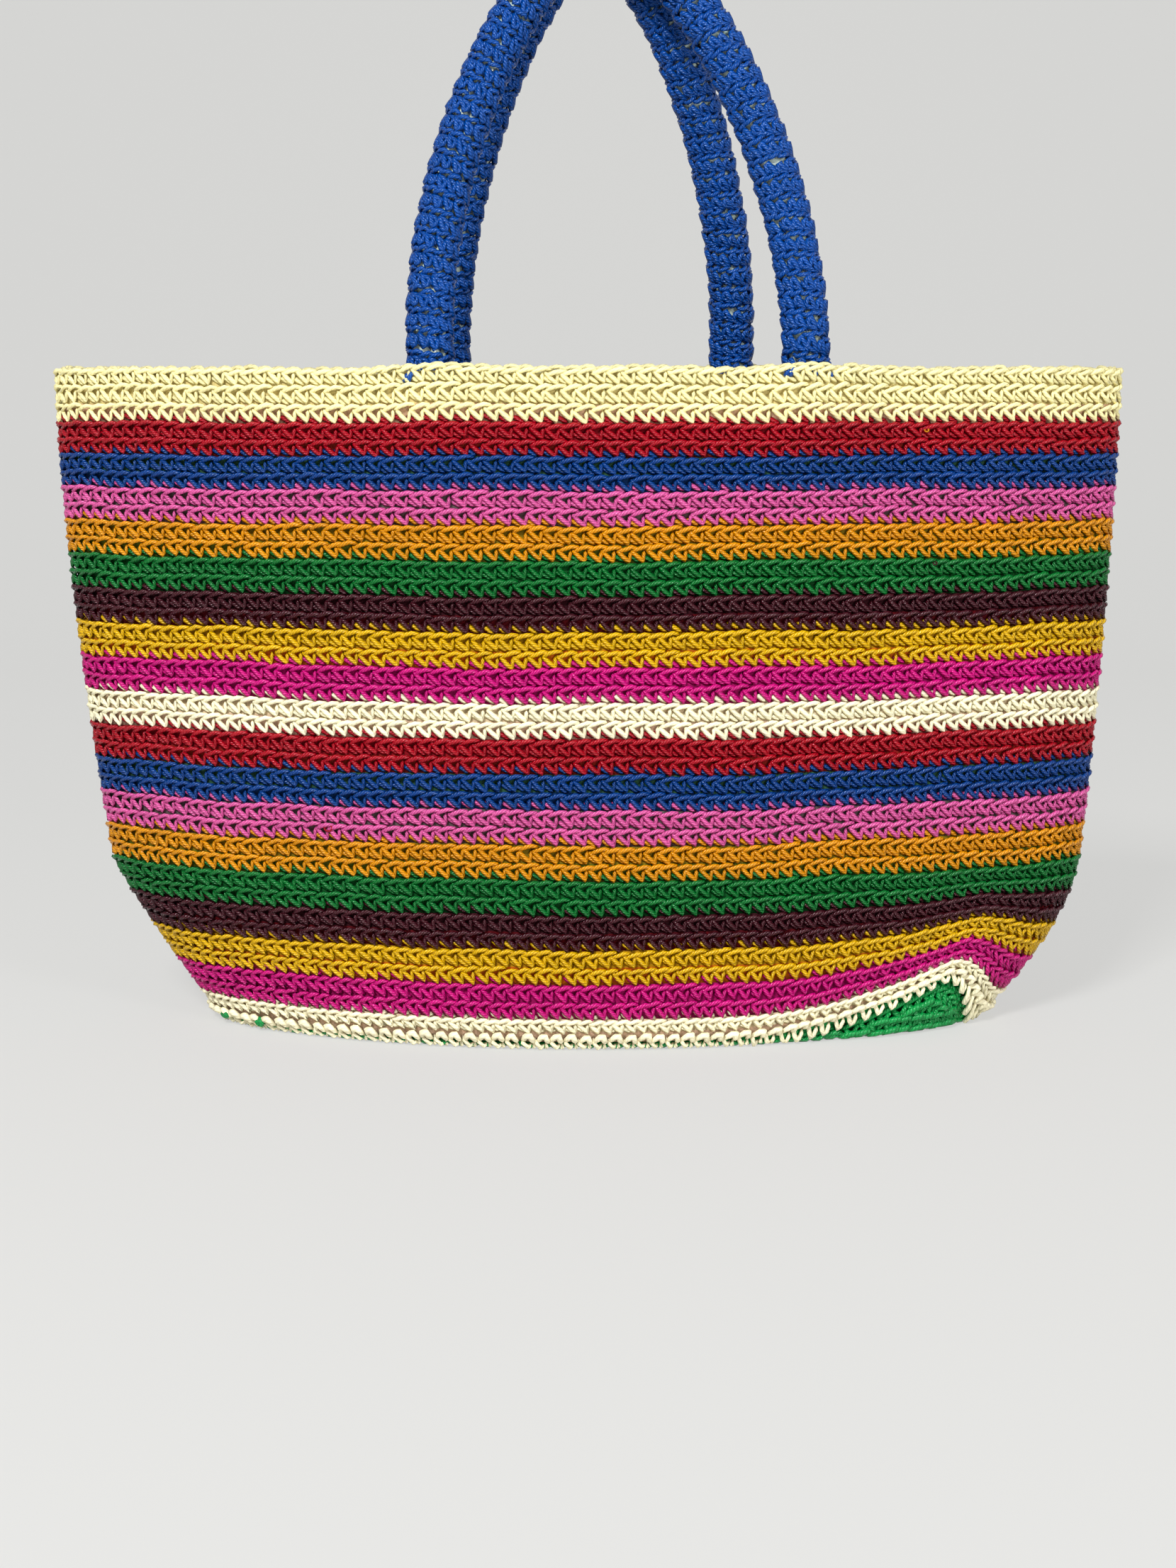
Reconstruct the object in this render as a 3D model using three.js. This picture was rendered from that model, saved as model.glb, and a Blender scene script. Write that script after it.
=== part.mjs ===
// A crocheted basket bag: nineteen striped bands on an oval base, and two tube handles in crocheted sleeves.
// Millimetres, +Z up. The origin is the middle of the base's underside. The front faces -Y.
import * as THREE from 'three';

// Plan of the wall: half sizes at the rim, and how pointed its two ends are at the rim and at the base
const RIM_HALF_WIDTH = 213.5;
const RIM_HALF_DEPTH = 60;
const RIM_PINCH = 0.33;
const BASE_PINCH = 0.14;

// How far the wall draws in from the rim down to the base, and how it rounds off at its two lower corners
const LEFT_DRAW = 27.7;
const RIGHT_DRAW = 16;
const DRAW_POWER = 1.67;
const DEPTH_DRAW = 3;
const LEFT_CORNER = { depth: 33, height: 68, power: 1.15 };
const RIGHT_CORNER = { depth: 35, height: 72, power: 1.9 };
const FOOT_ROUNDING = 2.5;
const FOOT_ROUNDING_HEIGHT = 12;

// Rows of stitches
const RIM_ROWS = 3;
const BAND_ROWS = 2;
const RIM_ROW_PITCH = 7.2;
const ROW_PITCH = 7.05;
const TOP_ROW_TIGHTENING = 0.8;
const TIGHTENING_ROWS = 8;
const FOOT_ROW_PITCH = 5.6;
const RIDGE_DEPTH = 1.2;
const RIDGE_LEDGE = 0.5;
const WALL_THICKNESS = 4.4;

// The lower edge at the front right is turned up, and shows the base's margin below it
const LIFT = 23.5;
const LIFT_START = 0.3;
const LIFT_PEAK = 0.79;
const LIFT_POWER = 2.2;
const LIFT_FADE_HEIGHT = 70;
const LIFT_FADE_POWER = 1.3;

// Base panel
const BASE_THICKNESS = 5;
const MARGIN_THICKNESS = 1.25;
const BASE_EDGE_ROUNDING = 0.8;
const LIP_SLOPE = 3.5;

// Gaps between pieces that touch, and where pieces turn past each other
const SEAM_GAP = 0.3;
const SEAT_GAP = 0.4;
const SWING_GAP = 0.5;

// Handles: a clear tube inside a crocheted sleeve. Spread is half the distance between the feet of a handle.
const FRONT_HANDLE = { spread: 72, rise: 158, footShift: 11.5, crownShift: 7 };
const REAR_HANDLE = { spread: 59, rise: 157, footShift: 0.7, crownShift: 3 };
const CROWN_POWER = 0.85;
const SHOULDER_DRAW = 0.3;
const TUBE_RADIUS = 6.35;
const TUBE_BORE_RADIUS = 4.75;
const SLEEVE_RADIUS = 9.4;
const ROUND_PITCH = 7.6;
const ROUND_DEPTH = 0.9;
const CROWN_GAP = 0.8;
const FOOT_FROM_RIM = 19;
const PIVOT_ABOVE_RIM = 6;
const LEG_END_DROP = 6;
const SEWN_DEPTH = 46;
const SEWN_END_ROUNDING = 4;
const SEWN_END_FLOOR = 2;

// Lashings: the yarn wound round each sewn end and caught into the wall
const YARN_RADIUS = 0.75;
const LASHING_TURNS = 2;
const LASHING_BELOW_END_TOP = 3;

// How far round a foot the wall bulges over a sewn end, and between which depths below the rim the bulge fades
const BULGE_WIDTH = 26;
const BULGE_FULL_DEPTH = 20;
const BULGE_END_DEPTH = 80;

// Fineness of the surfaces
const STATIONS = 24;
const TUBE_SIDES = 8;
const BORE_STATIONS = 16;
const CROWN_CROWDING = 1.5;
const PLAN_STEP = 1e-4;

const yarn = (name, colour) => ({ name, colour, roughness: 0.6 });
const CREAM = yarn('cream', 0xe6dbad);
const RED = yarn('red', 0xa60d21);
const BLUE = yarn('blue', 0x0d3399);
const PINK = yarn('pink', 0xd654a8);
const ORANGE = yarn('orange', 0xed940d);
const GREEN = yarn('green', 0x007333);
const MAROON = yarn('maroon', 0x330d1f);
const YELLOW = yarn('yellow', 0xdbb30a);
const MAGENTA = yarn('magenta', 0xb80585);
const HANDLE_BLUE = yarn('handle_blue', 0x0d40b3);
const CLEAR_TUBE = { name: 'clear_tube', colour: 0xdfe8dc, roughness: 0.15 };

const CYCLE = [RED, BLUE, PINK, ORANGE, GREEN, MAROON, YELLOW, MAGENTA, CREAM];
const BAND_YARNS = [CREAM, ...CYCLE, ...CYCLE];

const smooth = (low, high, value) => THREE.MathUtils.smoothstep(value, low, high);

// Heights of the lower edges of the rows, counted down from the rim, with row 0 at the rim's top edge
const ROW_COUNT = RIM_ROWS + BAND_ROWS * (BAND_YARNS.length - 1);
const WALL_FOOT = MARGIN_THICKNESS + SEAM_GAP / 2;

function rowPitch(row) {
  if (row < RIM_ROWS) {
    return RIM_ROW_PITCH;
  }
  if (row >= ROW_COUNT - BAND_ROWS) {
    return FOOT_ROW_PITCH;
  }
  return ROW_PITCH - TOP_ROW_TIGHTENING * Math.exp(-(row - RIM_ROWS) / TIGHTENING_ROWS);
}

const rowHeights = [WALL_FOOT];
for (let row = ROW_COUNT - 1; row >= 0; row -= 1) {
  rowHeights.unshift(rowHeights[0] + rowPitch(row));
}
const RIM_HEIGHT = rowHeights[0];
const PIVOT_HEIGHT = RIM_HEIGHT + PIVOT_ABOVE_RIM;

// Half width of the plan on one side at a height: a gentle draw-in, and the rounded lower corner
function halfWidth(side, height) {
  const draw = side > 0 ? RIGHT_DRAW : LEFT_DRAW;
  const corner = side > 0 ? RIGHT_CORNER : LEFT_CORNER;
  const below = THREE.MathUtils.clamp(1 - height / RIM_HEIGHT, 0, 1);
  const cut = Math.max(0, 1 - height / corner.height);
  return RIM_HALF_WIDTH - draw * below ** DRAW_POWER - corner.depth * cut ** corner.power;
}

function halfDepth(height) {
  const below = THREE.MathUtils.clamp(1 - height / RIM_HEIGHT, 0, 1);
  const cut = Math.max(0, 1 - height / FOOT_ROUNDING_HEIGHT);
  return RIM_HALF_DEPTH - DEPTH_DRAW * below ** 2 - FOOT_ROUNDING * cut ** 2;
}

// The oval of the wall at a height, without the bulges: its ends are drawn to a point by the pinch
function ovalPoint(angle, height) {
  const c = Math.cos(angle);
  const s = Math.sin(angle);
  const pinch = THREE.MathUtils.lerp(BASE_PINCH, RIM_PINCH, height / RIM_HEIGHT);
  return new THREE.Vector2(halfWidth(c, height) * c, halfDepth(height) * s * (1 - pinch * c * c));
}

// The feet of both handles, and how far each one pushes the wall out
const FOOT_FROM_MIDDLE = RIM_HALF_DEPTH - FOOT_FROM_RIM;
const lashingRadius = SLEEVE_RADIUS + SEAM_GAP + 2 * YARN_RADIUS;

function footOf(handle, side, face) {
  const x = handle.footShift + side * handle.spread;
  const angle = face * Math.acos(x / RIM_HALF_WIDTH);
  const ahead = ovalPoint(angle + PLAN_STEP, RIM_HEIGHT);
  const along = ahead.sub(ovalPoint(angle - PLAN_STEP, RIM_HEIGHT)).normalize();
  const reach = (lashingRadius + SEAT_GAP + WALL_THICKNESS) / Math.abs(along.x);
  const bulge = FOOT_FROM_MIDDLE + reach - Math.abs(ovalPoint(angle, RIM_HEIGHT).y);
  return { x, y: face * FOOT_FROM_MIDDLE, face, angle, bulge };
}

const FEET = [
  { name: 'front_left', ...footOf(FRONT_HANDLE, -1, -1) },
  { name: 'front_right', ...footOf(FRONT_HANDLE, 1, -1) },
  { name: 'rear_left', ...footOf(REAR_HANDLE, -1, 1) },
  { name: 'rear_right', ...footOf(REAR_HANDLE, 1, 1) },
];

// The outer face of the wall in plan, with the bulges over the sewn ends
function planPoint(angle, height) {
  const point = ovalPoint(angle, height);
  const face = Math.sign(Math.sin(angle));
  const fade = smooth(RIM_HEIGHT - BULGE_END_DEPTH, RIM_HEIGHT - BULGE_FULL_DEPTH, height);
  for (const foot of FEET) {
    if (foot.face === face) {
      const off = (point.x - foot.x) / BULGE_WIDTH;
      point.y += face * foot.bulge * fade * Math.exp(-off * off);
    }
  }
  return point;
}

// A point of the wall at a height, moved inwards in plan by an inset
function wallPoint(angle, height, inset) {
  const point = planPoint(angle, height);
  const ahead = planPoint(angle + PLAN_STEP, height);
  const behind = planPoint(angle - PLAN_STEP, height);
  const along = ahead.sub(behind).normalize();
  return new THREE.Vector3(point.x - along.y * inset, point.y + along.x * inset, height);
}

// How far the wall's lower edge is turned up at a place round the front right
function liftAt(angle) {
  const c = Math.cos(angle);
  if (Math.sin(angle) >= 0 || c <= LIFT_START) {
    return 0;
  }
  const rise = Math.min(1, (c - LIFT_START) / (LIFT_PEAK - LIFT_START)) ** LIFT_POWER;
  return LIFT * rise * (1 - smooth(LIFT_PEAK, 1, c));
}

function liftedHeight(angle, height) {
  const fade = Math.max(0, 1 - height / LIFT_FADE_HEIGHT) ** LIFT_FADE_POWER;
  return height + liftAt(angle) * fade;
}

// Angles of the stations round the wall: evenly spaced, with the nearest ones moved onto the feet
const stationAngles = Array.from({ length: STATIONS }, (_, i) => (2 * Math.PI * (i + 0.5)) / STATIONS);
for (const foot of FEET) {
  const wanted = (foot.angle + 2 * Math.PI) % (2 * Math.PI);
  const nearest = Math.floor((wanted / (2 * Math.PI)) * STATIONS);
  stationAngles[nearest] = wanted;
}

function geometryOf(points, index) {
  const geometry = new THREE.BufferGeometry().setFromPoints(points);
  geometry.setIndex(index);
  geometry.computeVertexNormals();
  return geometry;
}

// The faces between two neighbouring rings of points. The last strip of a ring-shaped body is split along its
// other diagonal, so that it runs level with the strip of the body above it.
function joinRings(first, second, sides, turnLast = false) {
  const faces = [];
  for (let j = 0; j < sides; j += 1) {
    const k = (j + 1) % sides;
    if (turnLast && k === 0) {
      faces.push(first + j, first + k, second + j, first + k, second + k, second + j);
    } else {
      faces.push(first + j, first + k, second + k, first + j, second + k, second + j);
    }
  }
  return faces;
}

// A ring-shaped body: a grid of points that wraps round both ways
function wrappedGrid(rings) {
  const sides = rings[0].length;
  const index = rings.flatMap((_, i) => {
    const next = (i + 1) % rings.length;
    return joinRings(i * sides, next * sides, sides, true);
  });
  return geometryOf(rings.flat(), index);
}

// A body of stacked rings with a middle point at each end
function cappedGrid(startPoint, rings, endPoint) {
  const sides = rings[0].length;
  const start = rings.length * sides;
  const last = start - sides;
  const index = [];
  for (let i = 0; i + 1 < rings.length; i += 1) {
    index.push(...joinRings(i * sides, (i + 1) * sides, sides));
  }
  for (let j = 0; j < sides; j += 1) {
    const k = (j + 1) % sides;
    index.push(start, k, j, start + 1, last + j, last + k);
  }
  return geometryOf([...rings.flat(), startPoint, endPoint], index);
}

function mesh(name, finish, geometry) {
  const material = new THREE.MeshStandardMaterial({
    color: finish.colour,
    roughness: finish.roughness,
    metalness: 0,
  });
  const made = new THREE.Mesh(geometry, material);
  made.name = name;
  return made;
}

// One band of the wall: each row stands out at its top and steps in below, like a clapboard.
// The profile's points are an inset, the height of a row's edge, and a drop below that edge once it is lifted.
function bandGeometry(firstRow, rows) {
  const top = rowHeights[firstRow];
  const foot = rowHeights[firstRow + rows];
  const gap = SEAM_GAP / 2;
  const profile = [];
  for (let row = 0; row < rows; row += 1) {
    const valley = rowHeights[firstRow + row + 1];
    profile.push([0, rowHeights[firstRow + row], row === 0 ? gap : RIDGE_LEDGE]);
    profile.push([RIDGE_DEPTH, valley, row === rows - 1 ? -gap : 0]);
  }
  profile.push([WALL_THICKNESS, foot, -gap], [WALL_THICKNESS, top, gap]);
  const rings = stationAngles.map((angle) =>
    profile.map(([inset, edge, drop]) => wallPoint(angle, liftedHeight(angle, edge) - drop, inset)),
  );
  return wrappedGrid(rings);
}

// The base panel: a flat plate inside the wall's foot, and a margin under it that turns up at the front right
function baseGeometry() {
  const innerEdge = WALL_THICKNESS + SEAM_GAP;
  const ring = (pointAt) => stationAngles.map(pointAt);
  const marginTop = (angle) => liftedHeight(angle, WALL_FOOT) - SEAM_GAP / 2;
  const slope = (angle) => (LIP_SLOPE * liftAt(angle)) / LIFT;
  const rings = [
    ring((angle) => wallPoint(angle, 0, BASE_EDGE_ROUNDING)),
    ring((angle) => wallPoint(angle, marginTop(angle) / 2, 0)),
    ring((angle) => wallPoint(angle, marginTop(angle), 0)),
    ring((angle) => wallPoint(angle, marginTop(angle), innerEdge)),
    ring((angle) => wallPoint(angle, 0, innerEdge + slope(angle)).setZ(BASE_THICKNESS)),
  ];
  return cappedGrid(new THREE.Vector3(0, 0, 0), rings, new THREE.Vector3(0, 0, BASE_THICKNESS));
}

// The middle line of a handle in its own plane, from its left foot over the crown to its right foot
class HandleLine extends THREE.Curve {
  constructor(handle) {
    super();
    this.handle = handle;
    this.arcLengthDivisions = 400;
  }

  getPoint(share, target = new THREE.Vector3()) {
    const { spread, rise, footShift, crownShift } = this.handle;
    const angle = Math.PI * (1 - share);
    const c = Math.cos(angle);
    const s = Math.sin(angle);
    const reach = Math.sign(c) * Math.abs(c) ** CROWN_POWER * (1 - SHOULDER_DRAW * s * s);
    return target.set(THREE.MathUtils.lerp(footShift, crownShift, s) + spread * reach, 0, rise * s);
  }
}

// A ring of points round a handle's middle line, or round its straight end below the foot
function tubeRing(line, share, drop, radius) {
  const centre = line.getPointAt(share);
  const along = line.getTangentAt(share);
  if (drop > 0) {
    along.set(0, 0, share < 0.5 ? 1 : -1);
    centre.z -= drop;
  }
  const across = new THREE.Vector3(0, 1, 0);
  const side = new THREE.Vector3().crossVectors(across, along);
  return Array.from({ length: TUBE_SIDES }, (_, i) => {
    const angle = (2 * Math.PI * (i + 0.5)) / TUBE_SIDES;
    const point = centre.clone().addScaledVector(side, radius * Math.cos(angle));
    return point.addScaledVector(across, radius * Math.sin(angle));
  });
}

// The rings of a smooth bore or tube face from foot to foot, closer together over the crown
function smoothRings(line, radius) {
  const rings = [tubeRing(line, 0, LEG_END_DROP, radius)];
  for (let i = 0; i <= BORE_STATIONS; i += 1) {
    const off = (2 * i) / BORE_STATIONS - 1;
    const share = (1 + Math.sign(off) * Math.abs(off) ** CROWN_CROWDING) / 2;
    rings.push(tubeRing(line, share, 0, radius));
  }
  rings.push(tubeRing(line, 1, LEG_END_DROP, radius));
  return rings;
}

const SLEEVE_BORE_RADIUS = TUBE_RADIUS + SEAM_GAP;
const LEG_END_RADIUS = SLEEVE_BORE_RADIUS + SEAM_GAP;

// The crocheted sleeve: a ridge for each round of stitches, and legs that round off round the pivot line
function sleeveGeometry(line) {
  const rounds = Math.round(line.getLength() / ROUND_PITCH);
  const outer = [tubeRing(line, 0, LEG_END_DROP, LEG_END_RADIUS)];
  for (let i = 0; i <= 2 * rounds; i += 1) {
    outer.push(tubeRing(line, i / (2 * rounds), 0, SLEEVE_RADIUS - (i % 2) * ROUND_DEPTH));
  }
  outer.push(tubeRing(line, 1, LEG_END_DROP, LEG_END_RADIUS));
  return wrappedGrid([...outer, ...smoothRings(line, SLEEVE_BORE_RADIUS).reverse()]);
}

function tubeGeometry(line) {
  return wrappedGrid([
    ...smoothRings(line, TUBE_RADIUS),
    ...smoothRings(line, TUBE_BORE_RADIUS).reverse(),
  ]);
}

// A handle stands on its pivot line and leans towards the middle, until its crown almost meets the other one's
function handleGroup(name, handle, face) {
  const line = new HandleLine(handle);
  const reach = FOOT_FROM_MIDDLE - SLEEVE_RADIUS - CROWN_GAP / 2;
  const group = new THREE.Group();
  group.position.set(0, face * FOOT_FROM_MIDDLE, PIVOT_HEIGHT);
  group.rotation.x = face * Math.asin(reach / handle.rise);
  group.add(mesh(`${name}_handle_sleeve`, HANDLE_BLUE, sleeveGeometry(line)));
  group.add(mesh(`${name}_handle_tube`, CLEAR_TUBE, tubeGeometry(line)));
  return group;
}

// A round solid about the vertical, from [radius, height] pairs
function turned(profile) {
  const points = profile.map(([radius, height]) => new THREE.Vector2(radius, height));
  return new THREE.LatheGeometry(points, TUBE_SIDES).rotateX(Math.PI / 2);
}

// The end of a handle that is sewn to the inside of the wall: sleeve end, tube end and lashing.
// Its top stays just outside the ball that the rounded leg end turns in, and the tube's end stays below the ball.
const turningRadius = SLEEVE_RADIUS + SWING_GAP;
const sewnEndTop = -Math.sqrt(turningRadius ** 2 - SLEEVE_BORE_RADIUS ** 2);
const sewnEndFoot = sewnEndTop - SEWN_DEPTH;
const sewnEndFloor = sewnEndFoot + SEWN_END_ROUNDING + SEWN_END_FLOOR;

function sewnSleeveGeometry() {
  return turned([
    [0, sewnEndFoot],
    [SLEEVE_RADIUS - SEWN_END_ROUNDING, sewnEndFoot],
    [SLEEVE_RADIUS, sewnEndFoot + SEWN_END_ROUNDING],
    [SLEEVE_RADIUS, sewnEndTop],
    [SLEEVE_BORE_RADIUS, sewnEndTop],
    [SLEEVE_BORE_RADIUS, sewnEndFloor],
    [0, sewnEndFloor],
  ]);
}

function sewnTubeGeometry() {
  const foot = sewnEndFloor + SEAM_GAP;
  return turned([
    [TUBE_BORE_RADIUS, foot],
    [TUBE_RADIUS, foot],
    [TUBE_RADIUS, -turningRadius],
    [TUBE_BORE_RADIUS, -turningRadius],
    [TUBE_BORE_RADIUS, foot],
  ]);
}

function lashingGeometry() {
  const inner = SLEEVE_RADIUS + SEAM_GAP;
  const top = sewnEndTop - LASHING_BELOW_END_TOP;
  const profile = [[inner, top - 2 * YARN_RADIUS * LASHING_TURNS]];
  for (let turn = LASHING_TURNS - 1; turn >= 0; turn -= 1) {
    const middle = top - YARN_RADIUS * (2 * turn + 1);
    profile.push([inner + YARN_RADIUS, middle - YARN_RADIUS], [inner + 2 * YARN_RADIUS, middle]);
  }
  profile.push([inner + YARN_RADIUS, top], [inner, top], profile[0]);
  return turned(profile);
}

function sewnEndGroup(foot) {
  const group = new THREE.Group();
  group.position.set(foot.x, foot.y, PIVOT_HEIGHT);
  group.add(mesh(`${foot.name}_sewn_sleeve_end`, HANDLE_BLUE, sewnSleeveGeometry()));
  group.add(mesh(`${foot.name}_sewn_tube_end`, CLEAR_TUBE, sewnTubeGeometry()));
  group.add(mesh(`${foot.name}_lashing`, HANDLE_BLUE, lashingGeometry()));
  return group;
}

function buildBag() {
  const bag = new THREE.Group();
  let row = 0;
  BAND_YARNS.forEach((finish, i) => {
    const rows = i === 0 ? RIM_ROWS : BAND_ROWS;
    const name = `band_${String(i + 1).padStart(2, '0')}_${finish.name}`;
    bag.add(mesh(name, finish, bandGeometry(row, rows)));
    row += rows;
  });
  bag.add(mesh('base_panel', GREEN, baseGeometry()));
  FEET.forEach((foot) => bag.add(sewnEndGroup(foot)));
  bag.add(handleGroup('front', FRONT_HANDLE, -1));
  bag.add(handleGroup('rear', REAR_HANDLE, 1));
  return bag;
}

export default buildBag();
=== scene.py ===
"""A crocheted basket bag: striped wall, oval base and two hose handles in crocheted sleeves, stitch by stitch.

Sizes are millimetres in the classes below and become metres where a mesh is made. The bag stands on z = 0, and
its front faces -Y. Every length of yarn is a closed tube along a short row of points. The points of a stitch are
given in the stitch's own terms: u in stitch widths along the round, v in row heights (0 at the row's top edge,
-1 at its lower edge) and w in millimetres outwards from the fabric's face.
"""

from __future__ import annotations

import logging
import math
from dataclasses import dataclass, field
from enum import Enum
from typing import Protocol

import bpy
import numpy as np
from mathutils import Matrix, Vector

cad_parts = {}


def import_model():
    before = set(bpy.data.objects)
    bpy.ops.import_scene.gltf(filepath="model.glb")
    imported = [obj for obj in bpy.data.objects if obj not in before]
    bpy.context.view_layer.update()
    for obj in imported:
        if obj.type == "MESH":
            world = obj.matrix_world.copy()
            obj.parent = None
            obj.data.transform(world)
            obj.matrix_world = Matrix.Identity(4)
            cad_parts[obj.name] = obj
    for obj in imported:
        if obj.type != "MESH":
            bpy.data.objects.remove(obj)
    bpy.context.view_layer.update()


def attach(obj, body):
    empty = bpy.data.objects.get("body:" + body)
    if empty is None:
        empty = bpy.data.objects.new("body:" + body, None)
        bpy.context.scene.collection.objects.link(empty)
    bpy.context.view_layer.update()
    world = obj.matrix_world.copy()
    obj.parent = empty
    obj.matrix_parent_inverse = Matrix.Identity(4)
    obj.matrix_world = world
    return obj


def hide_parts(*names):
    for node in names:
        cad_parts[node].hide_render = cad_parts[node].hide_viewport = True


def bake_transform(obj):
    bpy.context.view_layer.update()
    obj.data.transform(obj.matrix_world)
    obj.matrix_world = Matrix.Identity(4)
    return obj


Array = np.ndarray
LOG = logging.getLogger("crochet_bag")
MM = 0.001
TAU = 2.0 * np.pi
UV_PER_MM = 0.1
SEED = 20260


# ---------------------------------------------------------------- numbers


def smoothstep(low: float, high: float, value: Array) -> Array:
    """The smooth ramp 3s^2 - 2s^3 of s, the value's clipped share of the way from low to high.

    Args:
        low: value where the ramp starts.
        high: value where it ends.
        value: numbers to map.

    Returns:
        Numbers from 0 to 1.
    """
    s = np.clip((value - low) / (high - low), 0.0, 1.0)
    return s * s * (3.0 - 2.0 * s)


def unit(vectors: Array) -> Array:
    """The vectors along the last axis, each divided by its length."""
    length = np.linalg.norm(vectors, axis=-1, keepdims=True)
    return vectors / np.maximum(length, 1e-9)


def reach_along(line: Array) -> Array:
    """How far along a line of points each point lies, from 0."""
    return np.concatenate([[0.0], np.cumsum(np.linalg.norm(np.diff(line, axis=0), axis=-1))])


def looked_up(value: Array, known: Array, table: Array) -> Array:
    """Rows of a three column table, interpolated at values between the known ones."""
    return np.stack([np.interp(value, known, table[:, i]) for i in range(3)], axis=-1)


def srgb(red: float, green: float, blue: float) -> tuple[float, float, float, float]:
    """A display colour as linear RGBA, by the usual sRGB curve."""
    values = [c / 12.92 if c <= 0.04045 else ((c + 0.055) / 1.055) ** 2.4 for c in (red, green, blue)]
    return (values[0], values[1], values[2], 1.0)


# ---------------------------------------------------------------- surfaces


@dataclass
class Surface:
    """Points, faces of equal corner counts in groups, and what each point or corner carries.

    Attributes:
        points: (n, 3) in millimetres.
        faces: one (f, corners) index array for each group.
        corners: one (f, corners, 2) array of UV places for each group.
        slots: one material number for each group.
        tone: (n,) lightness of the yarn at a point, about 0.
        depth: (n,) 0 deep in the fabric to 1 on its face; it sets the cords' painted shade.
    """

    points: Array
    faces: list[Array]
    corners: list[Array]
    slots: list[int]
    tone: Array
    depth: Array

    @staticmethod
    def joined(parts: list["Surface"]) -> "Surface":
        """One surface from several, with the indices of each moved past the points before it."""
        starts = np.cumsum([0] + [len(p.points) for p in parts])
        return Surface(
            np.concatenate([p.points for p in parts]),
            [f + start for p, start in zip(parts, starts) for f in p.faces],
            [c for p in parts for c in p.corners],
            [s for p in parts for s in p.slots],
            np.concatenate([p.tone for p in parts]),
            np.concatenate([p.depth for p in parts]),
        )

    def triangles(self) -> int:
        """How many triangles the faces make."""
        return sum(len(f) * (f.shape[1] - 2) for f in self.faces)

    def to_object(self, name: str, materials: list[bpy.types.Material]) -> bpy.types.Object:
        """A mesh object at the origin with this surface in metres.

        Args:
            name: the piece's name.
            materials: the materials that the slots count into.

        Returns:
            The object, linked to the scene.
        """
        mesh = bpy.data.meshes.new(name)
        counts = np.concatenate([np.full(len(f), f.shape[1], np.int32) for f in self.faces])
        corners = np.concatenate([f.ravel() for f in self.faces]).astype(np.int32)
        slots = np.concatenate([np.full(len(f), s, np.int32) for f, s in zip(self.faces, self.slots)])
        mesh.vertices.add(len(self.points))
        mesh.vertices.foreach_set("co", (self.points * MM).astype(np.float32).ravel())
        mesh.loops.add(len(corners))
        mesh.loops.foreach_set("vertex_index", corners)
        mesh.polygons.add(len(counts))
        mesh.polygons.foreach_set("loop_start", np.concatenate([[0], np.cumsum(counts)[:-1]]).astype(np.int32))
        mesh.polygons.foreach_set("material_index", slots)
        uv = np.concatenate([c.reshape(-1, 2) for c in self.corners]).astype(np.float32)
        mesh.uv_layers.new(name="yarn").data.foreach_set("uv", uv.ravel())
        for label, values in (("tone", self.tone), ("depth", self.depth)):
            mesh.attributes.new(label, "FLOAT", "POINT").data.foreach_set("value", values.astype(np.float32))
        mesh.update(calc_edges=True)
        mesh.polygons.foreach_set("use_smooth", np.ones(len(counts), bool))
        for material in materials:
            mesh.materials.append(material)
        made = bpy.data.objects.new(name, mesh)
        bpy.context.scene.collection.objects.link(made)
        return made


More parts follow.
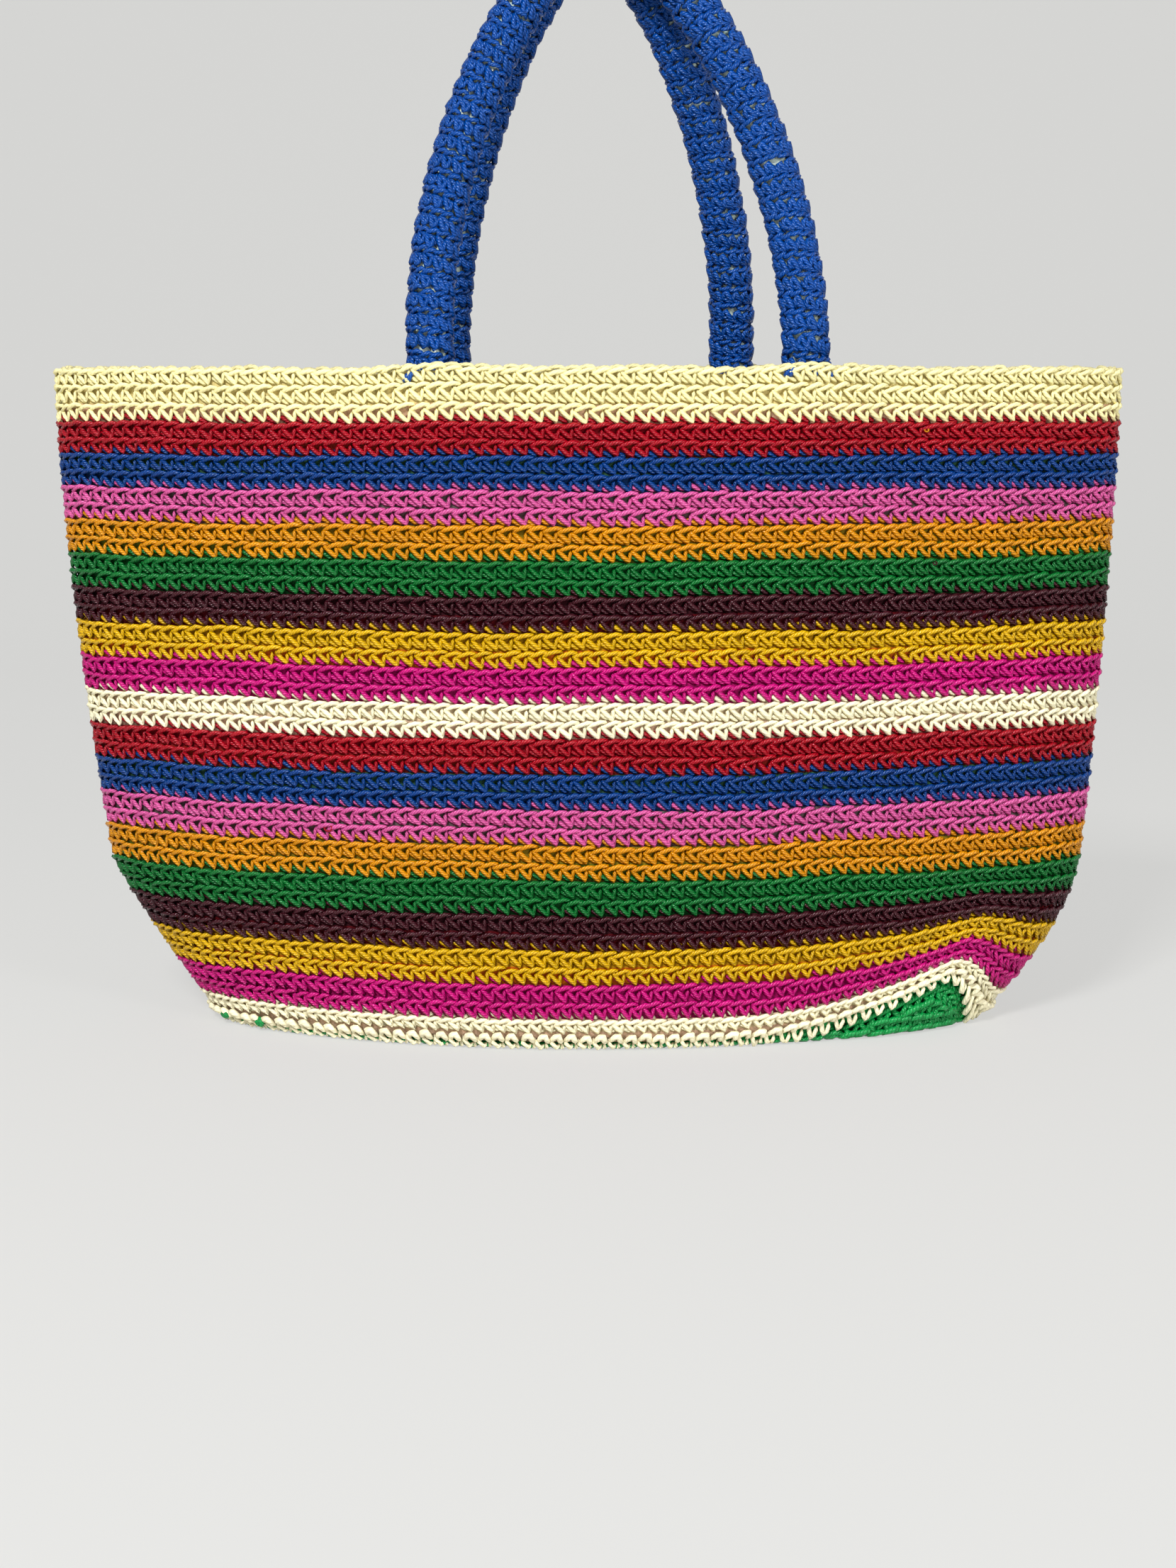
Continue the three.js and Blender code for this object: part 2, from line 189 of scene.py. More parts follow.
def yarn_tubes(points: Array, facing: Array, radius: Array, sides: int, tone: Array, depth: Array) -> Surface:
    """Closed tubes of yarn along rows of points. The first and last points of a row are the tube's two poles.

    Round each other point p with direction t and up direction n lies a ring p + r (cos(a) n + sin(a) (t x n)),
    with a going once round. Neighbouring rings are joined by quads, and the end rings to the poles by triangles.

    Args:
        points: (tubes, m, 3) centre lines.
        facing: (tubes, m, 3) directions that the first side of each ring turns to.
        radius: (m,) or (tubes, m) radii.
        sides: how many sides a ring has.
        tone: (tubes,) lightness of each tube.
        depth: (tubes, m) depth mask along each tube, which sets the painted shade.

    Returns:
        All the tubes as one surface, with U along the yarn and V round it.
    """
    count, m, _ = points.shape
    radius = np.broadcast_to(radius, (count, m))
    along = unit(points[:, 2:] - points[:, :-2])
    up = unit(facing[:, 1:-1] - along * np.sum(facing[:, 1:-1] * along, axis=-1, keepdims=True))
    side = np.cross(along, up)
    angle = TAU * np.arange(sides) / sides
    ring = np.cos(angle)[:, None] * up[:, :, None] + np.sin(angle)[:, None] * side[:, :, None]
    rings = points[:, 1:-1, None] + radius[:, 1:-1, None, None] * ring
    per = (m - 2) * sides + 2
    every = np.concatenate([rings.reshape(count, -1, 3), points[:, :1], points[:, -1:]], axis=1)
    step = np.linalg.norm(np.diff(points, axis=1), axis=-1)
    reach = np.concatenate([np.zeros((count, 1)), np.cumsum(step, axis=1)], axis=1) * UV_PER_MM

    i, j = np.meshgrid(np.arange(m - 3), np.arange(sides), indexing="ij")
    k = (j + 1) % sides
    quad = np.stack([i * sides + j, i * sides + k, (i + 1) * sides + k, (i + 1) * sides + j], axis=-1).reshape(-1, 4)
    n = np.arange(sides)
    after = (n + 1) % sides
    start, end, last = per - 2, per - 1, (m - 3) * sides
    tri = np.concatenate(
        [
            np.stack([np.full(sides, start), after, n], axis=-1),
            np.stack([last + n, last + after, np.full(sides, end)], axis=-1),
        ]
    )
    offset = (np.arange(count) * per)[:, None, None]
    round_share = np.stack([j, j + 1, j + 1, j], axis=-1).reshape(-1, 4) / sides
    at = np.stack([i, i, i + 1, i + 1], axis=-1).reshape(-1, 4) + 1
    quad_uv = np.stack([reach[:, at], np.broadcast_to(round_share, (count,) + round_share.shape)], axis=-1)
    tri_at = np.concatenate([np.tile([0, 1, 1], (sides, 1)), np.tile([m - 2, m - 2, m - 1], (sides, 1))])
    tri_round = np.concatenate(
        [np.stack([n + 0.5, n + 1, n], axis=-1), np.stack([n, n + 1, n + 0.5], axis=-1)]
    ) / sides
    tri_uv = np.stack([reach[:, tri_at], np.broadcast_to(tri_round, (count,) + tri_round.shape)], axis=-1)
    mask = np.broadcast_to(depth, (count, m))
    return Surface(
        every.reshape(-1, 3),
        [(quad + offset).reshape(-1, 4), (tri + offset).reshape(-1, 3)],
        [quad_uv.reshape(-1, 4, 2), tri_uv.reshape(-1, 3, 2)],
        [0, 0],
        np.repeat(tone, per),
        np.concatenate([np.repeat(mask[:, 1:-1], sides, axis=1), mask[:, :1], mask[:, -1:]], axis=1).ravel(),
    )


def wrapped_grid(grid: Array, closed_rows: bool, closed_columns: bool, slot: int) -> Surface:
    """A grid of points joined by quads, turned outwards where rows x columns points outwards.

    Args:
        grid: (rows, columns, 3) points.
        closed_rows: whether the last row joins the first.
        closed_columns: whether the last column joins the first.
        slot: material number.

    Returns:
        The grid as a surface, with UV places in centimetres along its first row and column.
    """
    rows, columns, _ = grid.shape
    row_steps = rows if closed_rows else rows - 1
    column_steps = columns if closed_columns else columns - 1
    i, j = np.meshgrid(np.arange(row_steps), np.arange(column_steps), indexing="ij")
    i, j = i.ravel(), j.ravel()
    corner = [(i, j), (i + 1, j), (i + 1, j + 1), (i, j + 1)]
    quads = np.stack([(a % rows) * columns + b % columns for a, b in corner], axis=-1)
    step_i = np.linalg.norm(grid[1] - grid[0], axis=-1).mean() * UV_PER_MM
    step_j = np.linalg.norm(grid[:, 1] - grid[:, 0], axis=-1).mean() * UV_PER_MM
    uv = np.stack([np.stack([a * step_i, b * step_j], axis=-1) for a, b in corner], axis=1)
    count = rows * columns
    return Surface(grid.reshape(-1, 3), [quads], [uv], [slot], np.zeros(count), np.zeros(count))


# ---------------------------------------------------------------- stitches


@dataclass(frozen=True)
class Loop:
    """One visible length of yarn in a stitch, from pole to pole.

    Attributes:
        u: places along the round, in stitch widths from the stitch's middle.
        v: places across the row, in row heights from its top edge.
        w: heights over the fabric's face in millimetres.
        r: radii in millimetres, of which the first and last aren't used.
        sides: sides of the tube.
    """

    u: tuple[float, ...]
    v: tuple[float, ...]
    w: tuple[float, ...]
    r: tuple[float, ...]
    sides: int = 5


FRONT_LOOP = Loop(
    u=(-0.66, -0.30, 0.12, 0.48, 0.84, 1.14),
    v=(-0.33, -0.28, -0.13, -0.04, -0.08, -0.17),
    w=(-1.9, -0.70, -0.05, -0.05, -0.95, -1.9),
    r=(0.5, 0.80, 0.90, 0.90, 0.78, 0.5),
)
LEGS = Loop(
    u=(-0.60, -0.46, -0.04, 0.34, 0.34, 0.36, 0.38),
    v=(-0.14, -0.30, -0.64, -0.91, -0.72, -0.44, -0.12),
    w=(-2.1, -1.05, -0.62, -0.62, -0.95, -0.85, -2.0),
    r=(0.5, 0.90, 1.02, 0.92, 0.74, 0.78, 0.5),
    sides=4,
)
BACK_LOOP = Loop(
    u=(0.08, 0.46, 0.92, 1.28),
    v=(0.46, 0.36, 0.14, 0.0),
    w=(-2.8, -1.85, -1.85, -2.8),
    r=(0.5, 1.0, 1.0, 0.5),
    sides=4,
)
INSIDE_LOOP = Loop(
    u=(-0.62, -0.26, 0.28, 0.62),
    v=(-0.50, -0.62, -0.58, -0.44),
    w=(-3.2, -3.95, -3.95, -3.2),
    r=(0.5, 0.82, 0.82, 0.5),
    sides=3,
)
RIM_FRONT_LOOP = Loop(
    u=(-0.66, -0.30, 0.12, 0.48, 0.84, 1.14),
    v=(-0.44, -0.40, -0.28, -0.20, -0.22, -0.30),
    w=(-1.9, -0.70, -0.05, -0.05, -0.95, -1.9),
    r=(0.5, 0.80, 0.90, 0.90, 0.78, 0.5),
)
RIM_BACK_LOOP = Loop(
    u=(-0.50, -0.18, 0.20, 0.52, 0.78, 0.98),
    v=(-0.32, -0.16, -0.10, -0.11, -0.22, -0.36),
    w=(-3.2, -3.35, -3.15, -2.75, -2.2, -1.8),
    r=(0.5, 0.84, 0.96, 0.98, 0.84, 0.5),
)
FOOT_KNOT = Loop(
    u=(-0.50, -0.34, -0.06, 0.20, 0.34, 0.36),
    v=(-0.82, -0.58, -0.14, -0.08, -0.50, -0.94),
    w=(-2.2, -0.8, 0.8, 1.1, 0.4, -1.6),
    r=(0.5, 0.95, 1.30, 1.40, 1.15, 0.5),
)
FOOT_LEGS = Loop(
    u=(-0.48, -0.42, -0.12, 0.22, 0.40, 0.32, 0.22),
    v=(-0.40, -0.70, -1.20, -1.72, -1.62, -1.12, -0.60),
    w=(-1.4, -0.30, 0.3, 0.1, -0.15, -0.15, -1.5),
    r=(0.5, 0.92, 0.98, 0.96, 0.92, 0.86, 0.5),
)
SLEEVE_FRONT_LOOP = Loop(
    u=(-0.66, -0.30, 0.12, 0.48, 0.84, 1.14),
    v=(-0.26, -0.20, -0.08, 0.0, -0.04, -0.12),
    w=(-2.4, -1.4, -0.88, -0.95, -1.6, -2.4),
    r=(0.5, 0.86, 0.96, 0.96, 0.84, 0.5),
)
SLEEVE_LEGS = Loop(
    u=(-0.50, -0.42, -0.20, 0.07, 0.25, 0.34, 0.40),
    v=(-0.08, -0.26, -0.60, -0.88, -0.78, -0.46, -0.10),
    w=(-2.4, -1.75, -1.2, -0.75, -1.0, -1.6, -2.4),
    r=(0.5, 1.02, 1.16, 1.14, 1.06, 1.0, 0.5),
    sides=4,
)
SLEEVE_BACK_LOOP = Loop(
    u=(-0.55, -0.22, 0.28, 0.56, 0.74),
    v=(-0.16, -0.32, -0.44, -0.62, -0.84),
    w=(-2.8, -1.9, -1.95, -2.0, -2.8),
    r=(0.5, 1.2, 1.25, 1.0, 0.5),
    sides=4,
)


class Fabric(Protocol):
    """A crocheted surface that can say where a place in its rounds lies."""

    def place(self, along: Array, across: Array, out: Array) -> tuple[Array, Array]:
        """Points and outward directions at places given in stitches, row heights and millimetres."""


@dataclass(frozen=True)
class Unevenness:
    """How far hand-made stitches stray: shares of a stitch width, a row height, the radius and lightness, and in mm.

    Own is how far a single point strays, against the whole loop.
    """

    along: float = 0.05
    across: float = 0.03
    radius: float = 0.05
    tone: float = 0.10
    out_mm: float = 0.12
    own: float = 0.35


def crochet(fabric: Fabric, stitches: Array, loop: Loop, rng: np.random.Generator, uneven: Unevenness) -> Surface:
    """One loop of yarn for each stitch of a fabric.

    Each of the loop's points is moved to the stitch's middle, with a small offset that the whole loop shares and a
    smaller one of its own, and the fabric says where it lies.

    Args:
        fabric: where the stitches lie.
        stitches: (n,) middles of the stitches, counted along the fabric.
        loop: the shape.
        rng: source of the unevenness.
        uneven: how large it is.

    Returns:
        The tubes.
    """
    count, m = len(stitches), len(loop.u)
    shared = rng.normal(0.0, 1.0, (4, count, 1))
    own = rng.normal(0.0, uneven.own, (2, count, m))
    along = stitches[:, None] + np.array(loop.u) + uneven.along * (shared[0] + own[0])
    across = np.array(loop.v) + uneven.across * (shared[1] + own[1])
    out = np.broadcast_to(np.array(loop.w), (count, m)) + uneven.out_mm * shared[2]
    radius = np.array(loop.r) * (1.0 + uneven.radius * np.clip(shared[3], -2.0, 2.0))
    points, facing = fabric.place(along, across, out)
    # Depth mask for the painted shade: loops lying deeper in the fabric are drawn darker.
    depth = np.clip(1.0 + np.array(loop.w) / 3.0, 0.0, 1.0)
    tone = uneven.tone * np.clip(rng.normal(0.0, 0.5, count), -1.0, 1.0)
    return yarn_tubes(points, facing, radius, loop.sides, tone, np.broadcast_to(depth, (count, m)))


# ---------------------------------------------------------------- finishes


class YarnColour(Enum):
    """The colours of the cord, as display colours, with the painted shade that fills the holes of a stripe's upper and
    last row, in some tinted with painted light bounced from the next stripe.
    """

    # Each: label, face colour, then the painted shade of the holes in upper rows and in the last row.
    CREAM = ("cream", (0.98, 0.94, 0.70), (1.0, 0.92, 0.62), (1.0, 0.82, 0.66))
    RED = ("red", (0.63, 0.0, 0.09), (0.62, 0.0, 0.08), (0.62, 0.12, 0.06))
    BLUE = ("blue", (0.0, 0.215, 0.49), (0.18, 0.36, 0.26), (0.0, 0.22, 0.46))
    PINK = ("pink", (0.82, 0.33, 0.59), (0.42, 0.36, 0.36), (0.42, 0.33, 0.33))
    ORANGE = ("orange", (0.83, 0.54, 0.0), (0.58, 0.48, 0.05), (0.42, 0.46, 0.08))
    GREEN = ("green", (0.0, 0.40, 0.145), (0.0, 0.39, 0.14), (0.0, 0.31, 0.10))
    MAROON = ("maroon", (0.23, 0.04, 0.085), (0.22, 0.0, 0.05), (0.42, 0.0, 0.05))
    YELLOW = ("yellow", (0.84, 0.66, 0.0), (0.80, 0.58, 0.0), (0.90, 0.44, 0.03))
    MAGENTA = ("magenta", (0.77, 0.03, 0.46), (0.74, 0.0, 0.42), (0.70, 0.04, 0.40))
    HANDLE = ("handle", (0.0, 0.27, 0.60), (0.0, 0.18, 0.42), (0.0, 0.18, 0.42))
    PALE_CREAM = ("pale_cream", (0.98, 0.95, 0.81), (1.0, 0.90, 0.74), (1.0, 0.84, 0.72))
    # The green cord with painted light: lighter than GREEN, for the base and the knots by it, which the lamps light
    # less.
    GREEN_PAINTED_LIGHT = ("green_painted_light", (0.02, 0.55, 0.25), (0.0, 0.38, 0.16), (0.0, 0.38, 0.16))

    def __init__(
        self,
        label: str,
        face: tuple[float, float, float],
        upper_hole_painted_shade: tuple[float, float, float],
        lower_hole_painted_shade: tuple[float, float, float],
    ) -> None:
        """Keeps the parts of the value under their names."""
        self.label = label
        self.face = face
        self.upper_hole_painted_shade = upper_hole_painted_shade
        self.lower_hole_painted_shade = lower_hole_painted_shade

    @property
    def slot(self) -> str:
        """The record's material slot."""
        return f"{self.label}_yarn"


@dataclass(frozen=True)
class YarnFinish:
    """Twisted glossy cord.

    Attributes:
        colour: which cord.
        roughness: of the filaments.
        plies: strands twisted together.
        turns: turns of the twist for each unit of U.
        relief: depth of the grooves between the plies in metres.
        gloss: specular level.
        grooves: how much painted shade darkens the grooves.
        sheen: share of white in the colour of the highlights.
    """

    colour: YarnColour
    roughness: float = 0.2
    plies: float = 3.0
    turns: float = 2.1
    relief: float = 0.0003
    gloss: float = 0.85
    grooves: float = 0.12
    sheen: float = 0.7

    def build(self) -> bpy.types.Material:
        """The cord's material: plies and filaments as bump, painted shade in the grooves and depths, and uneven
        lightness.
        """
        made, tree, shader = new_material(f"{self.colour.label}_cord")
        plies = add_node(tree, "Group", {"Plies": self.plies, "Turns": self.turns}, ply_group())
        height = plies.outputs["Height"]
        face = {"Colour": srgb(*self.colour.face), "Grooves": self.grooves, "Ply": height}
        paint = add_node(tree, "Group", face, cord_colour_group())
        bump = add_node(tree, "Bump", {"Strength": 1.0, "Distance": self.relief, "Height": height})
        span = {"To Min": self.roughness + 0.16, "To Max": self.roughness, "Value": height}
        rough = add_node(tree, "MapRange", span)
        tint = (self.sheen + (1.0 - self.sheen) * c for c in self.colour.face)
        surface = {
            "Normal": bump.outputs["Normal"],
            "Base Color": paint.outputs["Colour"],
            "Roughness": rough.outputs["Result"],
            "Specular IOR Level": self.gloss,
            "Specular Tint": srgb(*tint),
        }
        connect(tree, shader, surface)
        return made


@dataclass(frozen=True)
class PaintedShadeBacks:
    """The backs of the stitches, which show between the loops, coloured in painted shade."""

    name: str
    shade: tuple[float, float, float]

    def build(self) -> bpy.types.Material:
        """A dull sheet in painted shade, mottled with a darker painted shade by a noise that also gives the grain of
        packed filaments.
        """
        # Painted shade, and a darker painted shade where the noise is high.
        tones = (self.shade, tuple(c * 0.6 for c in self.shade))
        return clouded_material(self.name, 900.0, tones, 0.0004, {"Roughness": 0.8, "Specular IOR Level": 0.2})


@dataclass(frozen=True)
class HoseFinish:
    """Clear flexible hose, a little milky, drawn in pale colours that are partly painted highlight for its glints."""

    tint: tuple[float, float, float] = (0.72, 0.86, 0.80)

    def build(self) -> bpy.types.Material:
        """A see-through plastic with faint cloudiness and slow waves from the extruder, in pale tints lightened as
        painted highlight.
        """
        # The hose's milky colour, made lighter as painted highlight for its glints between the stitches.
        tones = (self.tint, (0.93, 0.96, 0.92))
        constants = {"Roughness": 0.12, "IOR": 1.5, "Transmission Weight": 0.2}
        return clouded_material("clear_hose", 120.0, tones, 0.0002, constants)


def new_material(name: str) -> tuple[bpy.types.Material, bpy.types.NodeTree, bpy.types.Node]:
    """A new node material, its tree and its Principled shader."""
    made = bpy.data.materials.new(name)
    made.use_nodes = True
    return made, made.node_tree, made.node_tree.nodes["Principled BSDF"]


def connect(tree: bpy.types.NodeTree, node: bpy.types.Node, values: dict[str, object]) -> None:
    """Links each named input of a node to a socket, or sets it to a number or colour."""
    for name, value in values.items():
        if isinstance(value, bpy.types.NodeSocket):
            tree.links.new(value, node.inputs[name])
        else:
            node.inputs[name].default_value = value


def add_node(
    tree: bpy.types.NodeTree,
    kind: str,
    values: dict[str, object] | None = None,
    group: bpy.types.NodeTree | None = None,
) -> bpy.types.Node:
    """A new shader node.

    Args:
        tree: where it goes.
        kind: its type, without the word ShaderNode. A Mix node mixes colours.
        values: what its inputs are linked or set to.
        group: the node group that a Group node uses.

    Returns:
        The node.
    """
    node = tree.nodes.new(f"ShaderNode{kind}")
    if kind == "Mix":
        node.data_type = "RGBA"
    if group is not None:
        node.node_tree = group
    connect(tree, node, values or {})
    return node


def clouded_material(
    name: str, scale: float, tones: tuple[tuple, tuple], relief: float, constants: dict[str, float]
) -> bpy.types.Material:
    """A material whose colour and bump both follow one noise in object coordinates.

    Args:
        name: the material's name.
        scale: scale of the noise.
        tones: the two display colours between which it runs.
        relief: height of the bump in metres.
        constants: further values of the shader.

    Returns:
        The material.
    """
    made, tree, shader = new_material(name)
    noise = add_node(tree, "TexNoise", {"Scale": scale, "Vector": add_node(tree, "TexCoord").outputs["Object"]})
    cloud = noise.outputs["Fac"]
    mix = add_node(tree, "Mix", {"A": srgb(*tones[0]), "B": srgb(*tones[1]), "Factor": cloud})
    bump = add_node(tree, "Bump", {"Distance": relief, "Height": cloud})
    connect(tree, shader, {"Base Color": mix.outputs["Result"], "Normal": bump.outputs["Normal"], **constants})
    return made


def add_socket(tree: bpy.types.NodeTree, name: str, output: bool, kind: str, value: object = None) -> None:
    """One socket of a node group.

    Args:
        tree: the group.
        name: the socket's name.
        output: whether it is an output.
        kind: the socket type.
        value: default value of an input.
    """
    made = tree.interface.new_socket(name=name, in_out="OUTPUT" if output else "INPUT", socket_type=kind)
    if value is not None:
        made.default_value = value


def math_node(tree: bpy.types.NodeTree, operation: str, *values: object) -> bpy.types.NodeSocket:
    """A Math node whose inputs are sockets or numbers, and its output."""
    node = tree.nodes.new("ShaderNodeMath")
    node.operation = operation
    for socket, value in zip(node.inputs, values):
        if isinstance(value, bpy.types.NodeSocket):
            tree.links.new(value, socket)
        else:
            socket.default_value = float(value)
    return node.outputs[0]


def ply_group() -> bpy.types.NodeTree:
    """The group that turns a yarn's UV into the height of its twisted plies and filaments, from 0 to 1.

    Height = |sin(pi (plies V + turns plies U))| to the power 0.6, less a little noise drawn out along the yarn.
    """
    if "twisted_plies" in bpy.data.node_groups:
        return bpy.data.node_groups["twisted_plies"]
    tree = bpy.data.node_groups.new("twisted_plies", "ShaderNodeTree")
    add_socket(tree, "Plies", False, "NodeSocketFloat", 3.0)
    add_socket(tree, "Turns", False, "NodeSocketFloat", 1.5)
    add_socket(tree, "Height", True, "NodeSocketFloat")
    given, out = tree.nodes.new("NodeGroupInput"), tree.nodes.new("NodeGroupOutput")
    place = add_node(tree, "UVMap")
    place.uv_map = "yarn"
    split = add_node(tree, "SeparateXYZ", {"Vector": place.outputs["UV"]})
    turned = math_node(tree, "MULTIPLY", split.outputs["X"], given.outputs["Turns"])
    both = math_node(tree, "ADD", split.outputs["Y"], turned)
    phase = math_node(tree, "MULTIPLY", both, given.outputs["Plies"])
    wave = math_node(tree, "ABSOLUTE", math_node(tree, "SINE", math_node(tree, "MULTIPLY", phase, math.pi)))
    lobes = math_node(tree, "POWER", wave, 0.6)
    stretch = add_node(tree, "Mapping", {"Scale": (6.0, 26.0, 1.0), "Vector": place.outputs["UV"]})
    filament = add_node(tree, "TexNoise", {"Scale": 1.0, "Vector": stretch.outputs["Vector"]})
    height = math_node(tree, "SUBTRACT", lobes, math_node(tree, "MULTIPLY", filament.outputs["Fac"], 0.35))
    tree.links.new(height, out.inputs["Height"])
    return tree


def cord_colour_group() -> bpy.types.NodeTree:
    """The group that gives a cord its colour: painted shade between the plies and deep in the fabric, and uneven in
    tone.
    """
    if "cord_colour" in bpy.data.node_groups:
        return bpy.data.node_groups["cord_colour"]
    tree = bpy.data.node_groups.new("cord_colour", "ShaderNodeTree")
    add_socket(tree, "Colour", False, "NodeSocketColor", (0.5, 0.5, 0.5, 1.0))
    add_socket(tree, "Ply", False, "NodeSocketFloat", 1.0)
    add_socket(tree, "Grooves", False, "NodeSocketFloat", 0.12)
    add_socket(tree, "Colour", True, "NodeSocketColor")
    given, out = tree.nodes.new("NodeGroupInput"), tree.nodes.new("NodeGroupOutput")
    tone, depth = add_node(tree, "Attribute"), add_node(tree, "Attribute")
    tone.attribute_name, depth.attribute_name = "tone", "depth"
    patches = add_node(tree, "TexNoise", {"Scale": 22.0, "Vector": add_node(tree, "TexCoord").outputs["Object"]})
    lack = math_node(tree, "SUBTRACT", 1.0, given.outputs["Ply"])
    # Painted shade in the grooves between the plies.
    groove_shade = math_node(tree, "SUBTRACT", 1.03, math_node(tree, "MULTIPLY", lack, given.outputs["Grooves"]))
    # Painted shade: the deeper a point lies in the fabric, by the depth attribute, the darker.
    sunk = math_node(tree, "MULTIPLY_ADD", depth.outputs["Fac"], 0.26, 0.76)
    patch = math_node(tree, "MULTIPLY_ADD", patches.outputs["Fac"], 0.16, 0.92)
    own = math_node(tree, "ADD", tone.outputs["Fac"], 1.0)
    value = math_node(
        tree, "MULTIPLY", math_node(tree, "MULTIPLY", groove_shade, sunk), math_node(tree, "MULTIPLY", patch, own)
    )
    shade = add_node(tree, "HueSaturation", {"Color": given.outputs["Colour"], "Value": value})
    tree.links.new(shade.outputs["Color"], out.inputs["Colour"])
    return tree


@dataclass
class Palette:
    """The materials of the bag, each made once."""

    cords: dict[YarnColour, bpy.types.Material] = field(default_factory=dict)
    holes: dict[YarnColour, list[bpy.types.Material]] = field(default_factory=dict)

    def cord(self, colour: YarnColour) -> bpy.types.Material:
        """The cord of a colour. Cream is the dullest."""
        if colour not in self.cords:
            cream = YarnFinish(colour, roughness=0.5, turns=1.5, relief=0.00018, gloss=0.4, grooves=0.07)
            dull = colour in (YarnColour.CREAM, YarnColour.PALE_CREAM)
            self.cords[colour] = (cream if dull else YarnFinish(colour)).build()
        return self.cords[colour]

    def whole(self, colour: YarnColour) -> list[bpy.types.Material]:
        """The cord of a colour, then the painted shade of its stitch backs in upper rows and in the last row of a
        stripe.
        """
        if colour not in self.holes:
            # Both materials are painted shade: one for upper rows, one for a stripe's last row.
            upper = PaintedShadeBacks(f"{colour.label}_stitch_backs", colour.upper_hole_painted_shade).build()
            lower = PaintedShadeBacks(f"{colour.label}_last_row_backs", colour.lower_hole_painted_shade).build()
            self.holes[colour] = [upper, lower]
        return [self.cord(colour), *self.holes[colour]]


# ---------------------------------------------------------------- wall


@dataclass(frozen=True)
class HandleSize:
    """Sizes of one handle in millimetres. Face is -1 for the front handle and 1 for the rear one."""

    name: str
    face: int
    spread: float
    rise: float
    foot_shift: float
    crown_shift: float


@dataclass(frozen=True)
class Corner:
    """A rounded lower corner: how far it draws in, up to which height, and by which power."""

    depth: float
    height: float
    power: float


FRONT_HANDLE = HandleSize("front", -1, 72.0, 158.0, 11.5, 7.0)
REAR_HANDLE = HandleSize("rear", 1, 59.0, 157.0, 0.7, 3.0)


